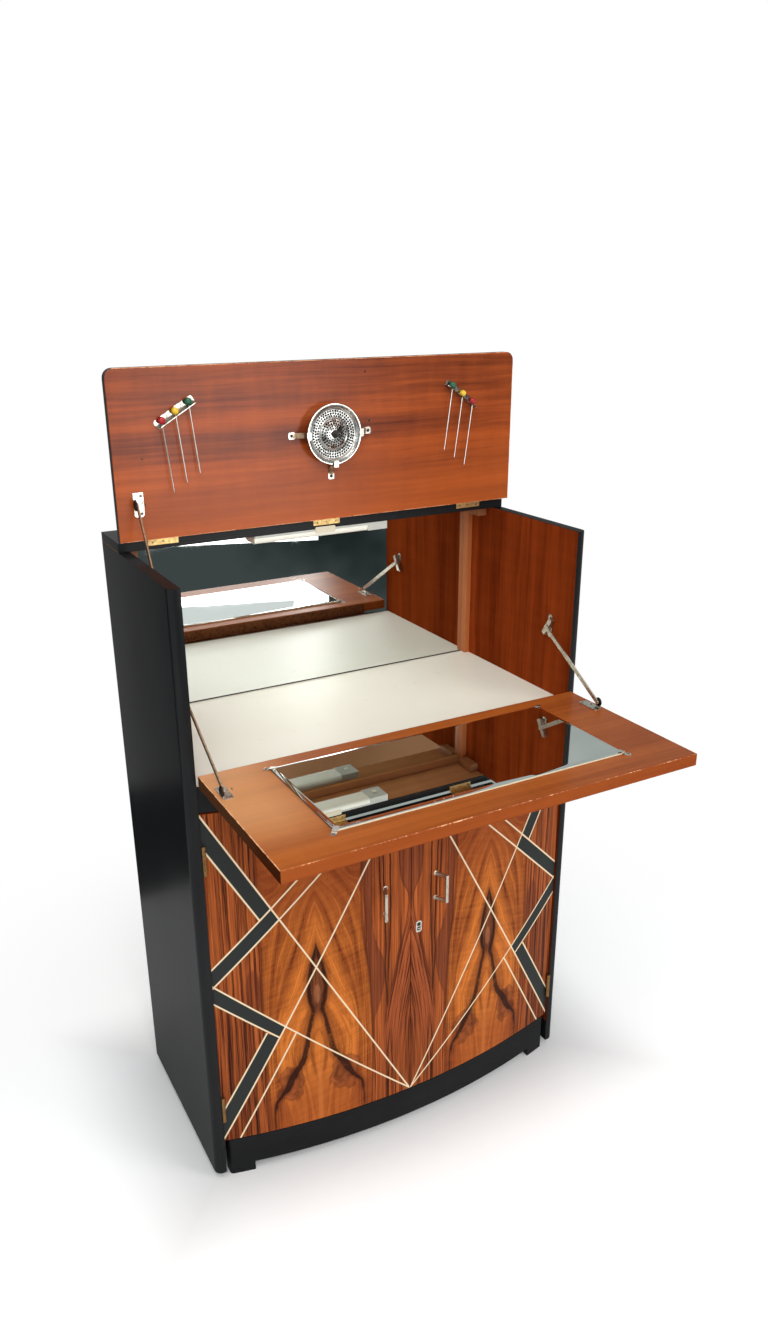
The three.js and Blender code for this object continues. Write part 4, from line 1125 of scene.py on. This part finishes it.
def pierce_dish(piece):
    """Bores rings of round holes through the strainer's flat ring and its dome."""
    bpy.ops.object.select_all(action="DESELECT")
    drill = None
    for radius, bore in HOLE_RINGS:
        count = int(2 * math.pi * radius / HOLE_PITCH)
        for index in range(count):
            angle = 2 * math.pi * (index + radius * RING_TURN) / count
            place = on_juicer(Vector((math.cos(angle), 0, math.sin(angle))), radius, DRILL_DEPTH)
            bpy.ops.mesh.primitive_cylinder_add(
                vertices=12, radius=bore * MM, depth=DRILL_DEPTH * MM, location=place,
                rotation=(math.pi / 2, 0, 0),
            )
            if drill is None:
                drill = bpy.context.active_object
                bpy.ops.object.transform_apply(location=True, rotation=True)
                bpy.ops.object.mode_set(mode="EDIT")
    bpy.ops.object.mode_set(mode="OBJECT")
    carve(piece, drill)


def lever_plane(rise, points):
    return in_plane(on_juicer(FRONT, 0, rise), LEVER_WAY, LEVER_ASIDE, points)


bowl_finish = bowl_metal("chrome of the juicer's bowl")
bowl = spun("juicer_bowl_fine", BOWL_PROFILE, JUICER_FOOT, FRONT, 72, "lid", bowl_finish, 0.9, 50)
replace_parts(bowl, "juicer_bowl")
dish = spun("juicer_strainer_fine", DISH_PROFILE, JUICER_FOOT, FRONT, 96, "lid", tin, 0.7)
pierce_dish(dish)
smooth(dish, 40)
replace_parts(dish, "juicer_strainer")
knob = lever_plane(19.2, rounded_corners(11.5, 11.5, 1.6))
plate_piece("juicer_knob", knob, FRONT * 5.2 * MM, "lid", black_iron, 0.9)
plate_piece("juicer_lever", lever_plane(21.0, LEVER_OUTLINE), FRONT * 2.0 * MM, "lid", black_iron)
for node, way, pad_size in (
    ("left", -RIGHT, (8.4, 14.0)), ("right", RIGHT, (8.4, 14.0)), ("bottom", -UP, (12.0, 9.6)),
):
    aside = way.cross(FRONT)
    points = [on_juicer(way, out, rise) for out, rise in CLIP_PATH]
    # The clip arms' dark brown is painted shade and painted reflection.
    clip = bent_strip(f"juicer_clip_{node}_fine", points, aside * 9.4 * MM, 1.2, "lid", worn_nickel, 0.3)
    tab = in_plane(on_juicer(way, 76.6, 0), way, aside, rounded_corners(12.6, 12.6, 3))
    plate_piece(f"juicer_clip_{node}_tab", tab, FRONT * 1.3 * MM, "lid", bright_nickel)
    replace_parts(clip, f"juicer_clip_{node}")
    screw(on_juicer(way, 77.0, 1.25), FRONT, "lid", black_iron, 3.0)
    pad = in_plane(on_juicer(way, 52.4, 23.9), way, aside, rounded_corners(*pad_size, 1.6))
    plate_piece(f"juicer_clip_{node}_pad", pad, FRONT * 0.35 * MM, "lid", bright_nickel, 0.15)


# Hinges: the moving leaves and their screws, one of which is missing

HINGE_SCREW_STEP = 19
MISSING_SCREW = ("left", HINGE_SCREW_STEP)
for side in ("left", "middle", "right"):
    hinge_low, hinge_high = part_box(f"lid_hinge_{side}")
    for shift in (-HINGE_SCREW_STEP, 0, HINGE_SCREW_STEP):
        if (side, shift) != MISSING_SCREW:
            x = (hinge_low.x + hinge_high.x) / 2 + shift * MM
            place = Vector((x, LID_PIN_Y - 0.3 * MM, hinge_low.z + 5.0 * MM))
            screw(place, FRONT, "case", dark_steel, 2.0, rise=0.1)
    leaf = rectangle(hinge_low.x, hinge_high.x, LID_PIN_Y - 14 * MM, LID_PIN_Y - 1.4 * MM)
    leaf_corners = [Vector((x, y, LID_FOOT_Z - 0.75 * MM)) for x, y in leaf]
    plate_piece(f"lid_hinge_{side}_leaf", leaf_corners, UP * 0.7 * MM, "lid", brass, 0.15)
BASE_SCREWS = 9
base_low, base_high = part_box("flap_hinge_base")
for index in range(BASE_SCREWS):
    x = base_low.x + (base_high.x - base_low.x) * (index + 0.5) / BASE_SCREWS
    place = Vector((x, base_high.y - 4.2 * MM, low("bow_shelf_board").z + 19.15 * MM))
    screw(place, UP, "case", brown_brass, 1.9)


# Stays: rivets, hubs, screws and the plates behind the guides

RIVET_PROFILE = [(0.02, 0.9), (1.6, 0.7), (2.6, 0.05), (2.2, -0.3)]
# The cup's profile as (share of its radius, height)
HUB_PROFILE = [(0.45, 4.2), (0.8, 3.4), (1, 2.0), (1, 0.4), (0.9, 0.0)]
WALL_PLATE = (12, 46, 5.5)
WALL_PLATE_THICK = 1.25
WALL_PLATE_SPREAD = 16
STAY_PLATE_THICK = 1.45
STAY_SCREW_ASIDE = 4.5
STAY_SCREW_INSET = 6


def stay_rivet(name, node, joint_name, body, finish):
    """The two heads of the rivet that joins a stay's rod to its plate."""
    place = joint_place(joint_name)
    outward = 1 if low(node).x > 0 else -1
    for tag, way in (("in", -outward), ("out", outward)):
        place.x = high(node).x if way > 0 else low(node).x
        spun(f"{name}_{tag}", RIVET_PROFILE, place, RIGHT * way, ROUND_STEPS, body, finish)


def stay_hub(name, joint_name, body, radius):
    """The dark cup in which a stay's rod turns, on the wall's side of the rod."""
    place = joint_place(joint_name)
    outward = RIGHT if place.x > 0 else -RIGHT
    profile = [(0.02, 4.4), *((radius * share, rise) for share, rise in HUB_PROFILE), (0.02, 0.0)]
    spun(name, profile, place + outward * 1.6 * MM, outward, 32, body, black_iron)


def wall_plate(name, joint_name, sign, spread):
    """The plate behind a guide: an open hole at a spread above it and a screw as far below."""
    guide = joint_place(joint_name)
    outline = in_plane(
        Vector((sign * (WALL_X - 1.3 * MM), guide.y, guide.z)), BACK, UP, rounded_corners(*WALL_PLATE))
    plate = plate_piece(name, outline, RIGHT * sign * WALL_PLATE_THICK * MM, "case", bright_nickel, 0.2)
    cut_hole(plate, Vector((sign * WALL_X, guide.y, guide.z + spread * MM)), RIGHT, 2.6, 8)
    place = Vector((sign * (WALL_X - WALL_PLATE_THICK * MM), guide.y, guide.z - spread * MM))
    screw(place, RIGHT * -sign, "case", dark_steel, 2.4)


for side, sign in SIDES.items():
    pivot = f"flap_stay_rod_{side}_pivot"
    plate_node = f"flap_stay_plate_{side}"
    stay_hub(f"flap_stay_hub_{side}", pivot, "flap", 8.6)
    eased(plate_node, bright_nickel, 0.25)
    eased(f"flap_stay_rod_{side}", nickel if side == "right" else worn_nickel, 0.4)
    eased(f"flap_stay_guide_{side}", nickel, 0.6)
    x = centre(plate_node).x - sign * STAY_SCREW_ASIDE * MM
    for y in (low(plate_node).y + STAY_SCREW_INSET * MM, high(plate_node).y - STAY_SCREW_INSET * MM):
        screw(Vector((x, y, FLAP_TOP_Z + STAY_PLATE_THICK * MM)), UP, "flap", dark_steel, 2.4)
    wall_plate(f"flap_guide_wall_plate_{side}", f"flap_stay_guide_{side}_pivot", sign, WALL_PLATE_SPREAD)
    stay_rivet(f"flap_stay_rivet_{side}", plate_node, pivot, "flap", bright_nickel)
wall_plate("lid_guide_wall_plate", "lid_stay_guide_pivot", -1, -WALL_PLATE_SPREAD)
plate_low, plate_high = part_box("lid_stay_plate")
x = centre("lid_stay_plate").x + STAY_SCREW_ASIDE * MM
for z in (plate_low.z + STAY_SCREW_INSET * MM, plate_high.z - STAY_SCREW_INSET * MM):
    screw(Vector((x, LID_FACE_Y - STAY_PLATE_THICK * MM, z)), FRONT, "lid", dark_steel, 2.4)
stay_hub("lid_stay_hub", "lid_stay_rod_pivot", "lid", 9.4)
stay_rivet("lid_stay_rivet", "lid_stay_plate", "lid_stay_rod_pivot", "lid", dark_steel)


# The flap, its mirror and the mirror's corner clips

CORNER_CLIP_PATH = [(11.5, 0.5), (1.6, 0.5), (1.0, 3.2), (-9.5, 5.4)]
eased("flap_panel", flap_finish, 0.8)
eased("flap_mirror", flap_glass, 0.4)
glass_low, glass_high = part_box("flap_mirror")
for level, y, sign_y in (("front", glass_low.y, -1), ("rear", glass_high.y, 1)):
    for side, sign_x in SIDES.items():
        corner = Vector((glass_low.x if sign_x < 0 else glass_high.x, y, FLAP_TOP_Z))
        out = Vector((sign_x, sign_y, 0)).normalized()
        aside = Vector((-sign_y, sign_x, 0)).normalized()
        points = [corner + out * away * MM + UP * rise * MM for away, rise in CORNER_CLIP_PATH]
        bent_strip(f"mirror_clip_{level}_{side}", points, aside * 9 * MM, 0.7, "flap", bright_nickel, 0.2)
        screw(corner + out * 7.2 * MM + UP * 0.8 * MM, UP, "flap", dark_steel, 2.3)


# The doors, their handles and the lock

HANDLE_X = 54
ROSETTE_PROFILE = [(0.02, 1.6), (2.8, 1.5), (4.2, 1.0), (4.9, 0.2), (4.9, -0.6)]
for side, sign in SIDES.items():
    eased(f"door_{side}", door_wood, 0.5)
    handle = f"door_handle_{side}"
    eased(handle, nickel, 0.9, 3)
    for level, z in (("low", low(handle).z + 3 * MM), ("high", high(handle).z - 3 * MM)):
        place = Vector((sign * HANDLE_X * MM, high(handle).y + 0.3 * MM, z))
        spun(f"{handle}_rosette_{level}", ROSETTE_PROFILE, place, FRONT, 24, f"{side}_door", nickel)
lock_low, lock_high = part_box("lock_plate")
lock_middle = Vector(((lock_low.x + lock_high.x) / 2, lock_high.y, (lock_low.z + lock_high.z) / 2))
lock_face = in_plane(lock_middle, RIGHT, UP, rounded_corners(13.0, 25.0, 5.0))
lock = plate_piece("lock_plate_fine", lock_face, FRONT * 0.8 * MM, "right_door", bright_nickel)
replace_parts(lock, "lock_plate")
BARREL_DROP = -4.4
# The keyhole's eye and slot are dark plates laid on the lock: painted shade standing for the holes.
for name, up, width, tall in (("eye", 5.2, 7.4, 7.4), ("slot", BARREL_DROP, 7.0, 8.6)):
    opening = in_plane(
        lock_middle + FRONT * 0.7 * MM + UP * up * MM, RIGHT, UP, rounded_corners(width, tall, 2.2))
    plate_piece(f"lock_{name}", opening, FRONT * 0.3 * MM, "right_door", black_iron, 0.1)
barrel = lock_middle + FRONT * 0.9 * MM + UP * (BARREL_DROP * MM)
screw(barrel, FRONT, "right_door", bright_nickel, 1.9)
eased("lock_bolt", brass, 0.2)


# Floor, light and camera. The camera was fitted to the photograph's straight edges.

CAMERA_PLACE = Vector((-0.822968, low("cream_worktop").y - 8 * MM - 1.422085, 1.572697))
CAMERA_AZIMUTH = math.radians(27.854)
CAMERA_TILT = math.radians(-21.192)
CAMERA_ROLL = math.radians(-0.706)
SENSOR = 36
PICTURE = (768, 1344)
FOCUS_PIXELS = 1004.755
PICTURE_CENTRE = (363.187, 688.575)
FLOOR_LIFT = 0.36
# The floor in millimetres: where it turns plain, where the cabinet stands, how far the lift fades.
# Under and beside the cabinet the lift is taken away, a painted shade round its foot.
FLOOR_PLAIN = (560.0, 1400.0)
FOOT_HALF, FOOT_FRONT, FOOT_BACK = 400.0, 20.0, 360.0
LIFT_FADE = (-40.0, 240.0)


def make_camera():
    forward = Vector((
        math.sin(CAMERA_AZIMUTH) * math.cos(CAMERA_TILT),
        math.cos(CAMERA_AZIMUTH) * math.cos(CAMERA_TILT),
        math.sin(CAMERA_TILT),
    ))
    level = Vector((math.cos(CAMERA_AZIMUTH), -math.sin(CAMERA_AZIMUTH), 0))
    above = level.cross(forward)
    right = level * math.cos(CAMERA_ROLL) + above * math.sin(CAMERA_ROLL)
    up = above * math.cos(CAMERA_ROLL) - level * math.sin(CAMERA_ROLL)
    camera = bpy.data.objects.new("camera", bpy.data.cameras.new("camera"))
    bpy.context.scene.collection.objects.link(camera)
    turn = Matrix((right, up, -forward)).transposed().to_4x4()
    camera.matrix_world = Matrix.Translation(CAMERA_PLACE) @ turn
    camera.data.sensor_width = SENSOR
    camera.data.lens = FOCUS_PIXELS * SENSOR / PICTURE[1]
    camera.data.shift_x = (PICTURE[0] / 2 - PICTURE_CENTRE[0]) / PICTURE[1]
    camera.data.shift_y = (PICTURE_CENTRE[1] - PICTURE[1] / 2) / PICTURE[1]
    camera.data.clip_start = 0.05
    bpy.context.scene.camera = camera


def softbox(name, place, target, width, height, power, colour=(1, 1, 1), sheen_only=False):
    light = bpy.data.objects.new(name, bpy.data.lights.new(name, "AREA"))
    light.data.shape = "RECTANGLE"
    light.data.size = width
    light.data.size_y = height
    light.data.energy = power
    light.data.color = colour
    light.visible_diffuse = not sheen_only
    turn = (Vector(target) - Vector(place)).to_track_quat("-Z", "Y").to_matrix().to_4x4()
    light.matrix_world = Matrix.Translation(place) @ turn
    bpy.context.scene.collection.objects.link(light)


def seen_white(tree):
    """1 for rays that see the background, straight or in glass and metal."""
    path = tree.nodes.new("ShaderNodeLightPath")
    return union([
        Field(tree, path.outputs[f"Is {kind} Ray"]) for kind in ("Camera", "Glossy", "Transmission")
    ])


def make_world():
    world = bpy.data.worlds.new("studio")
    bpy.context.scene.world = world
    world.use_nodes = True
    tree = world.node_tree
    background = tree.nodes["Background"]
    seen = seen_white(tree)
    feed(tree, background.inputs["Color"], blend(seen, (0.95, 0.97, 1.0), (1.0, 1.0, 1.0)))
    feed(tree, background.inputs["Strength"], seen * 0.62 + 0.38)


def emission(tree, strength):
    node = tree.nodes.new("ShaderNodeEmission")
    feed(tree, node.inputs["Strength"], strength)
    return node.outputs[0]


def make_floor():
    """A white floor. Near the cabinet it shows the shadow, deepened by a painted shade where its
    lift is taken away, and further off it is plain white.
    """
    floor = add_plane("floor", 16)
    finish = Finish("white floor")
    tree = finish.tree
    x, y, z = finish.place
    grit = cloud(x * 0.02, y * 0.02, z, 3.0)
    finish.set(Specular_IOR_Level=0.1)
    finish.surface(blend(grit, (0.80, 0.80, 0.80), (0.82, 0.82, 0.82)), 0.7)
    seen = seen_white(tree)
    far = squares(x, y).math("SQRT").rise(*FLOOR_PLAIN)
    beside = (x.size() - FOOT_HALF).most(y * -1.0 - FOOT_FRONT).most(y - FOOT_BACK)
    # Painted shade: the lift falls to nothing under and beside the cabinet.
    near = beside.rise(*LIFT_FADE) * FLOOR_LIFT
    fade = tree.nodes.new("ShaderNodeMixShader")
    feed(tree, fade.inputs[0], seen * far)
    tree.links.new(finish.shader.outputs[0], fade.inputs[1])
    tree.links.new(emission(tree, 0.0), fade.inputs[2])
    both = tree.nodes.new("ShaderNodeAddShader")
    tree.links.new(fade.outputs[0], both.inputs[0])
    tree.links.new(emission(tree, seen * (near + far * (near * -1.0 + 1.0))), both.inputs[1])
    tree.links.new(both.outputs[0], tree.nodes["Material Output"].inputs["Surface"])
    floor.data.materials.append(finish.material)
    floor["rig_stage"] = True


def upright(left, right, y, foot, top):
    return [(left, y, foot), (right, y, foot), (left, y, top), (right, y, top)]


def make_card(name, corners, shade, other):
    """A glowing studio card, before or behind the cabinet, which only mirrors and polish see: a painted
    reflection.
    """
    card = add_plane(name, 2)
    for vertex, place in zip(card.data.vertices, corners):
        vertex.co = place
    finish = Finish(name)
    x, y, z = finish.place
    cast = cloud(x * 0.0012, y * 0.0012, z * 0.0016, 3.0)
    finish.set(
        Base_Color=(0.0, 0.0, 0.0), Specular_IOR_Level=0.0, Emission_Strength=1.0,
        Emission_Color=blend(cast.rise(0.35, 0.65), tone(*shade), tone(*other)),
    )
    card.data.materials.append(finish.material)
    card.visible_camera = False
    card.visible_diffuse = False
    card.visible_shadow = False
    card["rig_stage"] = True


CARDS = (
    ("low card in front", upright(-2.0, 4.0, -2.2, 0.02, 0.86), (18, 24, 26), (68, 76, 76)),
    ("high card in front", upright(-3.0, 4.5, -2.2, 2.05, 4.6), (138, 94, 64), (160, 114, 82)),
    ("side card in front", upright(1.3, 4.5, -2.25, 0.86, 2.05), (60, 56, 52), (96, 90, 84)),
    ("card behind on the left", upright(-3.4, -0.75, 1.7, 0.02, 3.0), (10, 11, 13), (24, 26, 30)),
    ("card behind on the right", upright(0.46, 4.5, 1.7, 0.4, 3.6), (162, 168, 166), (184, 188, 184)),
    (
        "low card behind on the left",
        [(-3.4, 1.0, 0.006), (-0.46, 1.0, 0.006), (-3.4, 1.7, 0.006), (-0.46, 1.7, 0.006)],
        (8, 9, 11), (18, 20, 22),
    ),
)

make_camera()
make_world()
make_floor()
for card in CARDS:
    make_card(*card)
softbox("key from the right", (2.0, -2.6, 2.4), (0, 0, 0.9), 1.5, 1.5, 46, (1.0, 0.985, 0.96))
softbox("window on the left", (-1.3, -3.0, 2.6), (0, 0, 0.8), 2.2, 2.2, 66, (0.98, 0.99, 1.0))
softbox("top light", (-0.9, -0.9, 3.6), (0, -0.1, 0.6), 2.4, 1.8, 40, (1.0, 0.995, 0.965))
softbox("low light in front", (0.62, -2.1, 1.02), (-0.2, 0.23, 1.36), 1.0, 0.9, 13, sheen_only=True)
softbox("high light in front", (0.6, -2.3, 2.45), (-0.16, 0.34, 1.06), 0.7, 0.7, 15, sheen_only=True)
bpy.context.scene.view_settings.view_transform = "Standard"

seen_low, seen_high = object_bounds()
